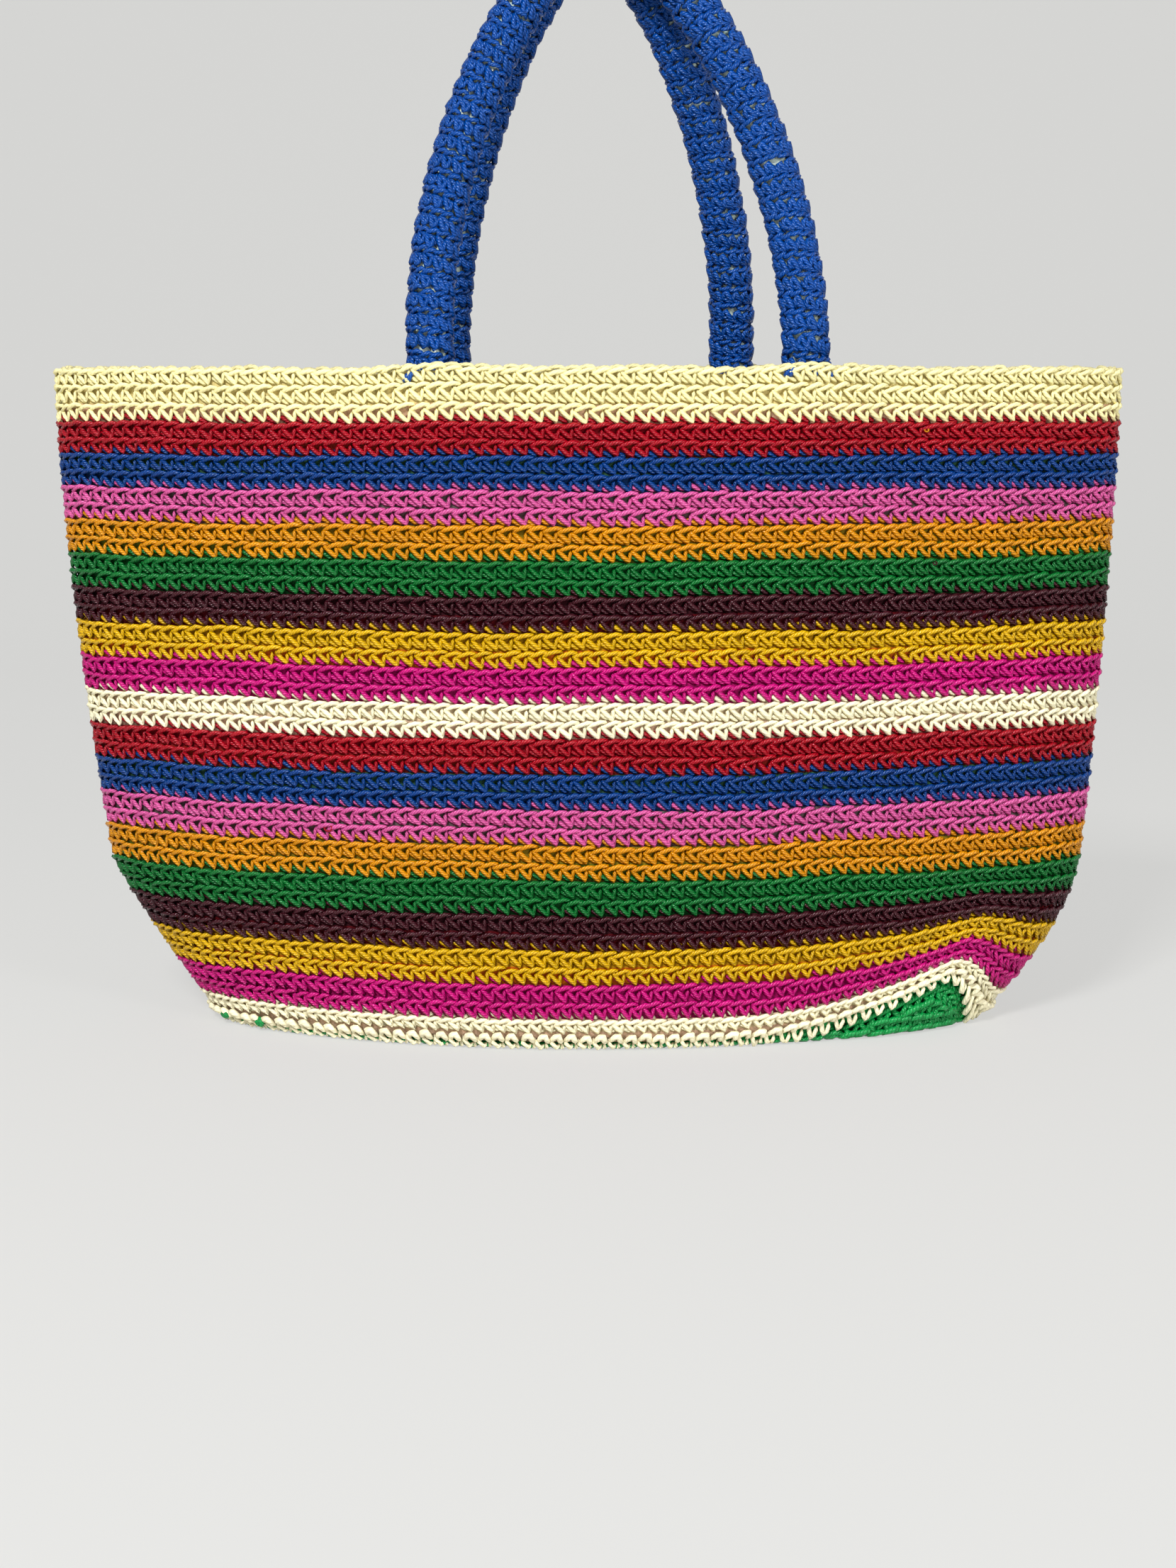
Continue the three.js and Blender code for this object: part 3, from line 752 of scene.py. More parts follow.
@dataclass
class WallPlan:
    """The shape of the wall's outer face, as a function of an angle round the bag and a height.

    The half width is the rim's, less a draw-in that grows with a power of the depth below the rim, less a rounded
    corner near the base. The plan is x = half width cos t, y = half depth sin t (1 - pinch cos^2 t), with a bell
    shaped bulge outside each handle end and slow waves. Heights near the base are lifted at the front right.
    """

    rim_half_width: float = 213.5
    rim_half_depth: float = 60.0
    rim_pinch: float = 0.33
    base_pinch: float = 0.14
    left_draw: float = 27.7
    right_draw: float = 16.0
    draw_power: float = 1.67
    depth_draw: float = 3.0
    left_corner: Corner = Corner(33.0, 68.0, 1.15)
    right_corner: Corner = Corner(35.0, 72.0, 1.9)
    foot_rounding: float = 2.5
    foot_rounding_height: float = 12.0
    rim_rows: int = 3
    band_rows: int = 2
    bands: int = 19
    rim_row_pitch: float = 7.2
    row_pitch: float = 7.05
    top_row_tightening: float = 0.8
    tightening_rows: float = 8.0
    foot_row_pitch: float = 5.6
    wall_foot: float = 1.4
    lift: float = 23.5
    lift_start: float = 0.3
    lift_peak: float = 0.79
    lift_power: float = 2.2
    lift_fade_height: float = 70.0
    lift_fade_power: float = 1.3
    foot_from_middle: float = 41.0
    sewn_reach: float = 16.0
    bulge_width: float = 26.0
    bulge_full_depth: float = 20.0
    bulge_end_depth: float = 80.0
    wave: float = 0.9
    foot_relief: float = 1.1
    foot_relief_width: float = 9.0
    pivot_above_rim: float = 6.0
    rim_rise: float = 1.6
    rim_rise_width: float = 20.0
    rim_rise_rows: float = 2.5

    def __post_init__(self) -> None:
        """Works out the heights of the rows' edges from the base up, and the handles' feet."""
        rows = self.rim_rows + self.band_rows * (self.bands - 1)
        row = np.arange(rows)
        pitch = self.row_pitch - self.top_row_tightening * np.exp(-(row - self.rim_rows) / self.tightening_rows)
        pitch = np.where(row < self.rim_rows, self.rim_row_pitch, pitch)
        pitch = np.where(row >= rows - self.band_rows, self.foot_row_pitch, pitch)
        self.rows: int = rows
        self.edges: Array = self.wall_foot + np.concatenate([np.cumsum(pitch[::-1])[::-1], [0.0]])
        self.rim_height: float = float(self.edges[0])
        self.pivot_height: float = self.rim_height + self.pivot_above_rim
        self.feet: list[tuple[str, float, int, float]] = []
        for handle in (FRONT_HANDLE, REAR_HANDLE):
            for label, sign in (("left", -1), ("right", 1)):
                x = handle.foot_shift + sign * handle.spread
                angle = handle.face * math.acos(x / self.rim_half_width)
                step = 1e-4
                ahead = self.oval(np.array([angle - step, angle, angle + step]), np.full(3, self.rim_height))
                along = ahead[2] - ahead[0]
                reach = self.sewn_reach / abs(along[0] / math.hypot(*along))
                bulge = self.foot_from_middle + reach - abs(ahead[1][1])
                self.feet.append((f"{handle.name}_{label}", x, handle.face, float(bulge)))

    def half_width(self, side: Array, height: Array) -> Array:
        """Half width on the side of the sign of the first argument."""
        below = np.clip(1.0 - height / self.rim_height, 0.0, 1.0)
        draw = np.where(side > 0, self.right_draw, self.left_draw) * below**self.draw_power
        corners = (self.left_corner, self.right_corner)
        cuts = [c.depth * np.maximum(0.0, 1.0 - height / c.height) ** c.power for c in corners]
        return self.rim_half_width - draw - np.where(side > 0, cuts[1], cuts[0])

    def half_depth(self, height: Array) -> Array:
        """Half depth at a height."""
        below = np.clip(1.0 - height / self.rim_height, 0.0, 1.0)
        cut = np.maximum(0.0, 1.0 - height / self.foot_rounding_height)
        return self.rim_half_depth - self.depth_draw * below**2 - self.foot_rounding * cut**2

    def oval(self, angle: Array, height: Array) -> Array:
        """The plan without bulges, as (..., 2)."""
        c, s = np.cos(angle), np.sin(angle)
        pinch = self.base_pinch + (self.rim_pinch - self.base_pinch) * height / self.rim_height
        y = self.half_depth(height) * s * (1.0 - pinch * c * c)
        return np.stack([self.half_width(c, height) * c, y], axis=-1)

    def lift_at(self, angle: Array) -> Array:
        """How far the lower edge is turned up at an angle."""
        c = np.cos(angle)
        rise = np.clip((c - self.lift_start) / (self.lift_peak - self.lift_start), 0.0, 1.0) ** self.lift_power
        return np.where(np.sin(angle) < 0, self.lift * rise * (1.0 - smoothstep(self.lift_peak, 1.0, c)), 0.0)

    def edge(self, angle: Array, row: Array) -> Array:
        """Height of a row's top edge, with the turned-up corner, the rim's rise over the feet and slow waves."""
        height = np.interp(row, np.arange(self.rows + 1), self.edges)
        fade = np.maximum(0.0, 1.0 - height / self.lift_fade_height) ** self.lift_fade_power
        x = self.rim_half_width * np.cos(angle)
        rise = np.zeros_like(x)
        for _, foot_x, face, _ in self.feet:
            bell = np.exp(-(((x - foot_x) / self.rim_rise_width) ** 2))
            rise = rise + np.where(np.sign(np.sin(angle)) == face, bell, 0.0)
        wave = 0.35 * np.sin(7.0 * angle + 0.31 * row) + 0.25 * np.sin(17.0 * angle - 0.23 * row + 1.0)
        calm = smoothstep(0.0, 6.0, self.rows - row) * 0.8
        near_rim = self.rim_rise * rise * np.exp(-row / self.rim_rise_rows)
        return height + self.lift_at(angle) * fade + near_rim + wave * calm

    def point(self, angle: Array, height: Array) -> Array:
        """The outer face, as (..., 3)."""
        flat = self.oval(angle, height)
        s = np.sin(angle)
        face = np.sign(s)
        fade = smoothstep(self.rim_height - self.bulge_end_depth, self.rim_height - self.bulge_full_depth, height)
        push = np.zeros_like(height, dtype=float)
        for _, foot_x, side, bulge in self.feet:
            away = flat[..., 0] - foot_x
            bells = bulge * np.exp(-((away / self.bulge_width) ** 2))
            bells = bells + self.foot_relief * np.exp(-((away / self.foot_relief_width) ** 2))
            push = push + np.where(face == side, bells, 0.0)
        waves = np.sin(5.0 * angle + height / 38.0) + 0.7 * np.sin(11.0 * angle - height / 23.0 + 1.3)
        waves = waves + 0.5 * np.sin(23.0 * angle + height / 17.0)
        calm = smoothstep(4.0, 40.0, height)
        y = flat[..., 1] + face * push * fade + s * self.wave * waves * calm
        return np.stack([flat[..., 0], y, height], axis=-1)

    def normal(self, angle: Array, height: Array) -> Array:
        """The outward direction: the slope along the angle crossed with the slope up the wall."""
        step, rise = 2e-3, 0.8
        along = self.point(angle + step, height) - self.point(angle - step, height)
        up = self.point(angle, height + rise) - self.point(angle, height - rise)
        return unit(np.cross(along, up))


@dataclass
class WallRow:
    """One round of the wall. Stitches are counted along it from angle 0 to 2 pi by the length of its top edge."""

    plan: WallPlan
    row: float
    count: int
    lean: float = 0.0
    floor: float | None = None
    samples: int = 1441
    tuck: float = 0.8

    def __post_init__(self) -> None:
        """Measures the round's top edge at many angles."""
        self.angles: Array = np.linspace(0.0, TAU, self.samples)
        line = self.plan.point(self.angles, self.plan.edge(self.angles, np.full(self.samples, self.row)))
        self.reach: Array = reach_along(line)

    def angle(self, along: Array) -> Array:
        """The angle at a place counted in stitches."""
        turns = (along + self.lean) / self.count
        whole = np.floor(turns)
        return np.interp((turns - whole) * self.reach[-1], self.reach, self.angles) + TAU * whole

    def place(self, along: Array, across: Array, out: Array) -> tuple[Array, Array]:
        """Points and outward directions: height = top edge + across (top edge - lower edge), moved out."""
        angle = self.angle(along)
        top = self.plan.edge(angle, np.full(angle.shape, self.row))
        foot = self.plan.edge(angle, np.full(angle.shape, self.row + 1.0))
        height = top + across * (top - foot)
        if self.floor is not None:
            under = np.maximum(0.0, self.floor - height)
            height = np.maximum(height, self.floor)
            out = out - self.tuck * under
        normal = self.plan.normal(angle, height)
        return self.plan.point(angle, height) + out[..., None] * normal, normal


@dataclass
class CrochetWall:
    """The striped wall: nineteen bands of stitches, each with its loops, its backs in painted shade and its inner
    face.
    """

    plan: WallPlan
    palette: Palette
    stitches: int = 160
    foot_stitches: int = 126
    lean_per_row: float = -0.02
    back_outset: float = -2.35
    back_inset: float = -3.5
    back_stations: int = 144
    floor: float = 1.0

    COLOURS = (
        YarnColour.CREAM,
        *(
            (
                YarnColour.RED,
                YarnColour.BLUE,
                YarnColour.PINK,
                YarnColour.ORANGE,
                YarnColour.GREEN,
                YarnColour.MAROON,
                YarnColour.YELLOW,
                YarnColour.MAGENTA,
                YarnColour.CREAM,
            )
            * 2
        ),
    )

    def backs(self, first: int, rows: int) -> Surface:
        """The thin layer in painted shade behind a band's loops: a closed ring with an outer and an inner face."""
        angle = TAU * np.arange(self.back_stations) / self.back_stations
        start = first + (0.4 if first == 0 else 0.0)
        levels = np.concatenate([[start], np.arange(first + 1, first + rows + 1)])
        rings = []
        for outset, order in ((self.back_outset, levels), (self.back_inset, levels[::-1])):
            for level in order:
                height = np.maximum(self.plan.edge(angle, np.full(angle.shape, level)), self.floor)
                rings.append(self.plan.point(angle, height) + outset * self.plan.normal(angle, height))
        # Slots 1 and 2 are the painted shade of the stitch backs, for upper rows and for the last row.
        made = wrapped_grid(np.stack(rings), True, True, 1)
        quads, corners = made.faces[0], made.corners[0]
        last = np.zeros(len(quads), bool)
        last[(rows - 1) * self.back_stations : rows * self.back_stations] = True
        made.faces, made.corners, made.slots = [quads[~last], quads[last]], [corners[~last], corners[last]], [1, 2]
        return made

    def band(self, index: int, first: int, rows: int) -> bpy.types.Object:
        """One stripe.

        Args:
            index: the band's number from the rim, from 0.
            first: its first row.
            rows: how many rows it has.

        Returns:
            The stripe's mesh object, riding on the bag.
        """
        colour = self.COLOURS[index]
        rng = np.random.default_rng(SEED + index)
        uneven = Unevenness()
        parts = []
        for row in range(first, first + rows):
            last = row == self.plan.rows - 1
            count = self.foot_stitches if last else self.stitches
            fabric = WallRow(self.plan, row, count, self.lean_per_row * row, self.floor if last else None)
            at = np.arange(count) + 0.5
            front = FOOT_KNOT if last else RIM_FRONT_LOOP if row == 0 else FRONT_LOOP
            parts.append(crochet(fabric, at, front, rng, uneven))
            parts.append(crochet(fabric, at, FOOT_LEGS if last else LEGS, rng, uneven))
            parts.append(crochet(fabric, at, RIM_BACK_LOOP if row == 0 else BACK_LOOP, rng, uneven))
            parts.append(crochet(fabric, at, INSIDE_LOOP, rng, uneven))
        parts.append(self.backs(first, rows))
        surface = Surface.joined(parts)
        node = f"band_{index + 1:02d}_{colour.label}"
        dressed = YarnColour.PALE_CREAM if colour is YarnColour.CREAM and index > 0 else colour
        made = surface.to_object(f"{node}_stitches", self.palette.whole(dressed))
        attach(made, "bag")
        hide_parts(node)
        LOG.info("%s: %d triangles", made.name, surface.triangles())
        return made

    def build(self) -> list[bpy.types.Object]:
        """All the stripes, from the rim down."""
        made, row = [], 0
        for index in range(self.plan.bands):
            rows = self.plan.rim_rows if index == 0 else self.plan.band_rows
            made.append(self.band(index, row, rows))
            row += rows
        return made


# ---------------------------------------------------------------- base


@dataclass
class BaseRound:
    """One round of the base's underside, an oval at an inset from the base's edge.

    The edge is drawn in towards a line along the bag's middle: each point keeps the share q = 1 - inset / half
    depth of its distance from the nearest point of that line.
    """

    plan: WallPlan
    inset: float
    count: int
    pitch: float
    level: float
    spine: float = 102.0
    edge_height: float = 0.5
    samples: int = 721

    def __post_init__(self) -> None:
        """Measures the round."""
        self.angles: Array = np.linspace(0.0, TAU, self.samples)
        line = self.flat(self.angles, np.full(self.samples, self.inset))
        self.reach: Array = reach_along(line)

    def flat(self, angle: Array, inset: Array) -> Array:
        """The round's plan, as (..., 2)."""
        edge = self.plan.oval(angle, np.full(angle.shape, self.edge_height))
        middle = np.clip(edge[..., 0], -self.spine, self.spine)
        share = 1.0 - inset / float(self.plan.half_depth(np.array(self.edge_height)))
        return np.stack([middle + (edge[..., 0] - middle) * share, edge[..., 1] * share], axis=-1)

    def place(self, along: Array, across: Array, out: Array) -> tuple[Array, Array]:
        """Points and downward directions: across grows towards the edge, and out is down from the level."""
        turns = along / self.count
        angle = np.interp(turns % 1.0 * self.reach[-1], self.reach, self.angles)
        flat = self.flat(angle, self.inset - across * self.pitch)
        height = np.maximum(self.level - out, 0.0)
        facing = np.zeros(angle.shape + (3,))
        facing[..., 2] = -1.0
        return np.concatenate([flat, height[..., None]], axis=-1), facing


@dataclass
class MarginRow:
    """A row of stitches on the base's margin between two angles, at a height or at a drop below the wall's edge.

    Next to the wall's edge the row is sunk, so that the edge's fringe lies over it.
    """

    plan: WallPlan
    height: float
    from_edge: bool
    start: float
    count: int
    width: float
    pitch: float = 5.6
    sink: float = 2.6
    sink_start: float = 5.0
    sink_end: float = 10.0

    def level(self, angle: Array) -> Array:
        """The row's height at an angle."""
        if not self.from_edge:
            return np.full(angle.shape, self.height)
        return self.plan.edge(angle, np.full(angle.shape, float(self.plan.rows))) - self.height

    def place(self, along: Array, across: Array, out: Array) -> tuple[Array, Array]:
        """Points and outward directions on the margin below the wall."""
        angle = self.start + along * self.width
        level = self.level(angle)
        height = np.maximum(level + across * self.pitch, 1.4)
        normal = self.plan.normal(angle, np.maximum(height, 2.0))
        drop = self.plan.edge(angle, np.full(angle.shape, float(self.plan.rows))) - height
        sunk = self.sink * (1.0 - smoothstep(self.sink_start, self.sink_end, drop))
        return self.plan.point(angle, height) + (out - sunk)[..., None] * normal, normal


BASE_LOOP = Loop(
    u=(-0.92, -0.55, -0.10, 0.34, 0.68, 0.92),
    v=(-0.30, -0.26, -0.18, -0.10, -0.06, -0.08),
    w=(-1.9, -1.0, -0.1, -0.1, -0.9, -1.9),
    r=(0.5, 0.9, 1.15, 1.15, 0.9, 0.5),
    sides=4,
)
BASE_POST = Loop(
    u=(-0.5, -0.30, 0.10, 0.34),
    v=(-0.30, -0.48, -0.82, -1.05),
    w=(-1.6, -0.5, -0.4, -1.4),
    r=(0.5, 1.25, 1.25, 0.5),
    sides=4,
)
OVER_LOOP = Loop(
    u=INSIDE_LOOP.u,
    v=(-0.1, -0.25, -0.2, -0.05),
    w=(0.6, 0.0, 0.0, 0.6),
    r=(0.5, 0.95, 0.95, 0.5),
    sides=4,
)
MARGIN_LOOP = Loop(
    u=(-0.80, -0.45, -0.05, 0.30, 0.62, 0.85),
    v=(-0.40, -0.26, -0.02, 0.08, -0.02, -0.25),
    w=(-2.0, -0.6, 0.1, 0.1, -0.7, -2.0),
    r=(0.5, 1.2, 1.4, 1.4, 1.15, 0.5),
)
MARGIN_POST = Loop(
    u=(-0.50, -0.28, 0.12, 0.40),
    v=(-0.30, -0.45, -0.80, -1.0),
    w=(-1.8, -0.5, -0.5, -1.8),
    r=(0.5, 1.35, 1.35, 0.5),
    sides=4,
)
MARGIN_SIDE = Loop(
    u=(0.16, 0.30, 0.44, 0.52),
    v=(-1.0, -0.78, -0.40, -0.2),
    w=(-1.9, -0.8, -0.8, -1.9),
    r=(0.5, 1.15, 1.15, 0.5),
    sides=4,
)


@dataclass
class CrochetBase:
    """The green base: rounds of stitches on both faces of a thin plate, and the margin below the turned-up corner."""

    plan: WallPlan
    palette: Palette
    round_pitch: float = 6.0
    rounds: int = 9
    stitch: float = 5.8
    under_level: float = 1.4
    over_level: float = 4.0
    plate_low: float = 1.7
    plate_high: float = 3.4
    plate_stations: int = 120
    margin_stitch: float = 5.4
    margin_stations: int = 90
    first_inset: float = 0.6
    over_inset: float = 3.0
    margin_rows: tuple[tuple[float, bool, float], ...] = (
        (2.6, False, 1.6),
        (7.4, False, 13.5),
        (0.6, True, 2.6),
        (5.4, True, 9.5),
        (10.4, True, 19.5),
    )

    def faces(self, rng: np.random.Generator) -> list[Surface]:
        """The rounds of stitches of the underside, and the plainer ones of the upper face."""
        parts = []
        for number in range(self.rounds):
            inset = self.first_inset + self.round_pitch * number
            probe = BaseRound(self.plan, inset, 1, self.round_pitch, self.under_level)
            count = max(12, round(probe.reach[-1] / self.stitch))
            under = BaseRound(self.plan, inset, count, self.round_pitch, self.under_level)
            at = np.arange(count) + 0.21 * number
            parts.append(crochet(under, at, BASE_LOOP, rng, Unevenness()))
            parts.append(crochet(under, at, BASE_POST, rng, Unevenness()))
            over = BaseRound(self.plan, inset + self.over_inset, count, self.round_pitch, self.over_level)
            if number < self.rounds - 1:
                parts.append(crochet(over, at, OVER_LOOP, rng, Unevenness()))
        return parts

    def plate(self) -> Surface:
        """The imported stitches' middle: a closed oval plate of rings from its underside over its edge to its top."""
        angle = TAU * np.arange(self.plate_stations) / self.plate_stations
        probe = BaseRound(self.plan, 0.0, 1, self.round_pitch, 0.0)
        middle = float(self.plan.half_depth(np.array(probe.edge_height))) - 0.5
        low, high = self.plate_low, self.plate_high
        rings = []
        for inset, height in ((middle, low), (2.0, low), (1.2, 2.4), (2.0, high), (middle, high)):
            flat = probe.flat(angle, np.full(angle.shape, inset))
            rings.append(np.concatenate([flat, np.full((self.plate_stations, 1), height)], axis=-1))
        # Slot 1: the plate is coloured in the stitch backs' painted shade.
        return wrapped_grid(np.stack(rings)[::-1], True, True, 1)

    def margin(self, rng: np.random.Generator) -> list[Surface]:
        """The turned-up margin: a backing strip, and rows of full round stitches that end where the wall begins."""
        parts = []
        n = self.margin_stations
        angle = np.linspace(-1.32, -0.02, n)
        top = np.maximum(self.plan.edge(angle, np.full(n, float(self.plan.rows))), 1.5)
        rings = []
        for outset, low in ((-4.2, False), (-2.4, True), (-4.0, True), (-5.6, False)):
            height = np.full(n, 0.9) if low else top + 1.0
            rings.append(self.plan.point(angle, height) + outset * self.plan.normal(angle, np.maximum(height, 2.0)))
        # Slot 1: the backing strip is coloured in the stitch backs' painted shade.
        strip = wrapped_grid(np.stack(rings), True, False, 1)
        ends = [np.array([[0, 3 * n, 2 * n, n]]), np.array([[n - 1, 2 * n - 1, 3 * n - 1, 4 * n - 1]])]
        strip.faces += ends
        strip.corners += [np.zeros((1, 4, 2)), np.zeros((1, 4, 2))]
        strip.slots += [1, 1]
        parts.append(strip)
        for number, (height, from_edge, room) in enumerate(self.margin_rows):
            inside = np.flatnonzero(top > room)
            start, end = float(angle[inside[0]]), float(angle[inside[-1]])
            row = MarginRow(self.plan, height, from_edge, start, 1, 1.0)
            track = np.linspace(start, end, 60)
            line = self.plan.point(track, row.level(track))
            length = float(np.linalg.norm(np.diff(line, axis=0), axis=-1).sum())
            count = max(3, round(length / self.margin_stitch))
            row = MarginRow(self.plan, height, from_edge, start, count, (end - start) / count)
            at = np.arange(count) + 0.5 + 0.3 * (number % 2)
            loose = Unevenness(along=0.08, across=0.06)
            parts += [crochet(row, at, loop, rng, loose) for loop in (MARGIN_LOOP, MARGIN_POST, MARGIN_SIDE)]
        return parts

    def build(self) -> bpy.types.Object:
        """The base as one piece on the bag."""
        rng = np.random.default_rng(SEED + 50)
        surface = Surface.joined(self.faces(rng) + [self.plate()] + self.margin(rng))
        # The base is the wall's green cord with painted light.
        made = surface.to_object("base_panel_stitches", self.palette.whole(YarnColour.GREEN_PAINTED_LIGHT))
        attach(made, "bag")
        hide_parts("base_panel")
        LOG.info("%s: %d triangles", made.name, surface.triangles())
        return made


# ---------------------------------------------------------------- handles


@dataclass
class HandleLine:
    """The middle line of a handle, from the bottom of its left sewn end over the crown to the right one.

    Above the feet it runs in a plane that leans to the bag's middle: x = shift + spread sign(c) |c|^0.85
    (1 - 0.3 s^2) and height = rise s, with c and s the cosine and sine of a half turn. Below them it is straight.
    The whole line is measured and its bends are eased by a running mean.
    """

    size: HandleSize
    plan: WallPlan
    crown_power: float = 0.85
    shoulder_draw: float = 0.3
    crown_gap: float = 0.8
    sleeve_radius: float = 9.4
    sewn_foot: float = 219.86
    ease: int = 9

    def __post_init__(self) -> None:
        """Samples the line every half millimetre."""
        turn = np.pi * (1.0 - np.linspace(0.0, 1.0, 1201))
        c, s = np.cos(turn), np.sin(turn)
        size = self.size
        shift = size.foot_shift + (size.crown_shift - size.foot_shift) * s
        x = shift + size.spread * np.sign(c) * np.abs(c) ** self.crown_power * (1.0 - self.shoulder_draw * s * s)
        lean = math.asin((self.plan.foot_from_middle - self.sleeve_radius - self.crown_gap / 2.0) / size.rise)
        height = size.rise * s
        y = size.face * (self.plan.foot_from_middle - height * math.sin(lean))
        z = self.plan.pivot_height + height * math.cos(lean)
        arch = np.stack([x, y, z], axis=-1)
        drop = np.linspace(self.sewn_foot, self.plan.pivot_height, 100, endpoint=False)
        left = np.stack([np.full(100, x[0]), np.full(100, y[0]), drop], axis=-1)
        right = np.stack([np.full(100, x[-1]), np.full(100, y[-1]), drop[::-1]], axis=-1)
        line = np.concatenate([left, arch, right])
        reach = reach_along(line)
        count = int(reach[-1] / 0.5)
        self.reach: Array = np.linspace(0.0, reach[-1], count)
        even = looked_up(self.reach, reach, line)
        width = 2 * self.ease + 1
        padded = np.concatenate([np.repeat(even[:1], self.ease, 0), even, np.repeat(even[-1:], self.ease, 0)])
        eased = np.stack([np.convolve(padded[:, i], np.ones(width) / width, "valid") for i in range(3)], axis=-1)
        eased[: self.ease + 1] = even[: self.ease + 1]
        eased[-self.ease - 1 :] = even[-self.ease - 1 :]
        self.points: Array = eased
        self.length: float = float(self.reach[-1])
        self.along: Array = unit(np.gradient(eased, axis=0))

    def frame(self, reach: Array) -> tuple[Array, Array, Array]:
        """Points, and the two directions across the line: square to it and nearest to +Y, and the other."""
        inside = np.clip(reach, 0.0, self.length)
        point = looked_up(inside, self.reach, self.points)
        along = unit(looked_up(inside, self.reach, self.along))
        point = point + along * (reach - inside)[..., None]
        level = np.zeros_like(along)
        level[..., 1] = 1.0
        first = unit(level - along * np.sum(level * along, axis=-1, keepdims=True))
        return point, first, np.cross(along, first)


@dataclass
class SleeveRounds:
    """The spiral of stitches round a handle. It falls by one round pitch in each turn towards +u."""

    line: HandleLine
    radius: float
    around: int
    pitch: float
    start: float

    def place(self, along: Array, across: Array, out: Array) -> tuple[Array, Array]:
        """Points and outward directions: angle = turns of the spiral, reach = start - turns pitch + across pitch."""
        turns = along / self.around
        reach = self.start - turns * self.pitch + across * self.pitch
        angle = TAU * turns
        point, first, second = self.line.frame(reach)
        facing = np.cos(angle)[..., None] * first + np.sin(angle)[..., None] * second
        return point + (self.radius + out)[..., None] * facing, facing


@dataclass
class Handle:
    """One handle: the crocheted sleeve with its sewn ends, the hose inside it, and the lashings at its feet."""

    size: HandleSize
    plan: WallPlan
    palette: Palette
    hose: bpy.types.Material
    around: int = 12
    pitch: float = 7.6
    hose_radius: float = 6.35
    hose_bore: float = 4.75
    sleeve_radius: float = 9.4
    bend_low: float = 258.0
    bend_high: float = 288.0
    hose_inset: float = 7.0
    hose_stations: int = 150
    hose_sides: int = 20
    closing_radius: float = 8.0

    def blend(self, made: bpy.types.Object) -> None:
        """Bakes a piece of the handle's placement into its mesh."""
        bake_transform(made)

    def sleeve(self, line: HandleLine, rng: np.random.Generator) -> bpy.types.Object:
        """The crocheted sleeve from one sewn end to the other, closed at both ends."""
        rounds = int(line.length / self.pitch)
        total = rounds * self.around
        fabric = SleeveRounds(line, self.sleeve_radius, self.around, self.pitch, line.length - 1.0)
        at = np.arange(total) + 0.5
        uneven = Unevenness(along=0.075, across=0.04)
        loops = (SLEEVE_FRONT_LOOP, SLEEVE_LEGS, SLEEVE_BACK_LOOP)
        parts = [crochet(fabric, at, loop, rng, uneven) for loop in loops]
        for reach, sign in ((0.0, 1.0), (line.length, -1.0)):
            parts.append(self.closing(line, reach, sign))
        surface = Surface.joined(parts)
        name = self.size.name
        made = surface.to_object(f"{name}_handle_crochet_sleeve", self.palette.whole(YarnColour.HANDLE))
        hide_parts(f"{name}_handle_sleeve", f"{name}_left_sewn_sleeve_end", f"{name}_right_sewn_sleeve_end")
        self.blend(made)
        LOG.info("%s: %d triangles", made.name, surface.triangles())
        return made

    def rings(self, line: HandleLine, reach: Array, radius: Array, sides: int) -> Array:
        """Rings of points round the line, as (rings, sides, 3)."""
        point, first, second = line.frame(reach)
        angle = TAU * np.arange(sides) / sides
        ring = np.cos(angle)[:, None] * first[:, None] + np.sin(angle)[:, None] * second[:, None]
        return point[:, None] + radius[:, None, None] * ring

    def closing(self, line: HandleLine, reach: float, sign: float) -> Surface:
        """The drawn-together end of the sleeve: a small closed dome of rings."""
        turn = np.linspace(0.02, np.pi / 2.0, 6)
        radius = self.closing_radius * np.sin(turn)
        depth = reach + sign * (1.0 + 4.0 * (1.0 - np.cos(turn)))
        reaches = np.concatenate([depth, depth[::-1] + sign])
        grid = self.rings(line, reaches, np.concatenate([radius, radius[::-1] * 0.9]), 12)
        # Slot 1: the closing is coloured in the stitch backs' painted shade.
        return wrapped_grid(grid if sign < 0 else grid[::-1], True, True, 1)

    def hose_piece(self, line: HandleLine) -> bpy.types.Object:
        """The hose: an outer and an inner face from end to end, joined at both ends."""
        reach = np.linspace(self.hose_inset, line.length - self.hose_inset, self.hose_stations)
        both = np.concatenate([reach, reach[::-1]])
        radius = np.repeat([self.hose_radius, self.hose_bore], self.hose_stations)
        grid = self.rings(line, both, radius, self.hose_sides)
        surface = wrapped_grid(grid[::-1], True, True, 0)
        name = self.size.name
        made = surface.to_object(f"{name}_handle_clear_hose", [self.hose])
        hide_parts(f"{name}_handle_tube", f"{name}_left_sewn_tube_end", f"{name}_right_sewn_tube_end")
        self.blend(made)
        LOG.info("%s: %d triangles", made.name, surface.triangles())
        return made

    def build(self, rng: np.random.Generator) -> list[bpy.types.Object]:
        """Sleeve and hose."""
        line = HandleLine(self.size, self.plan)
        return [self.sleeve(line, rng), self.hose_piece(line)]


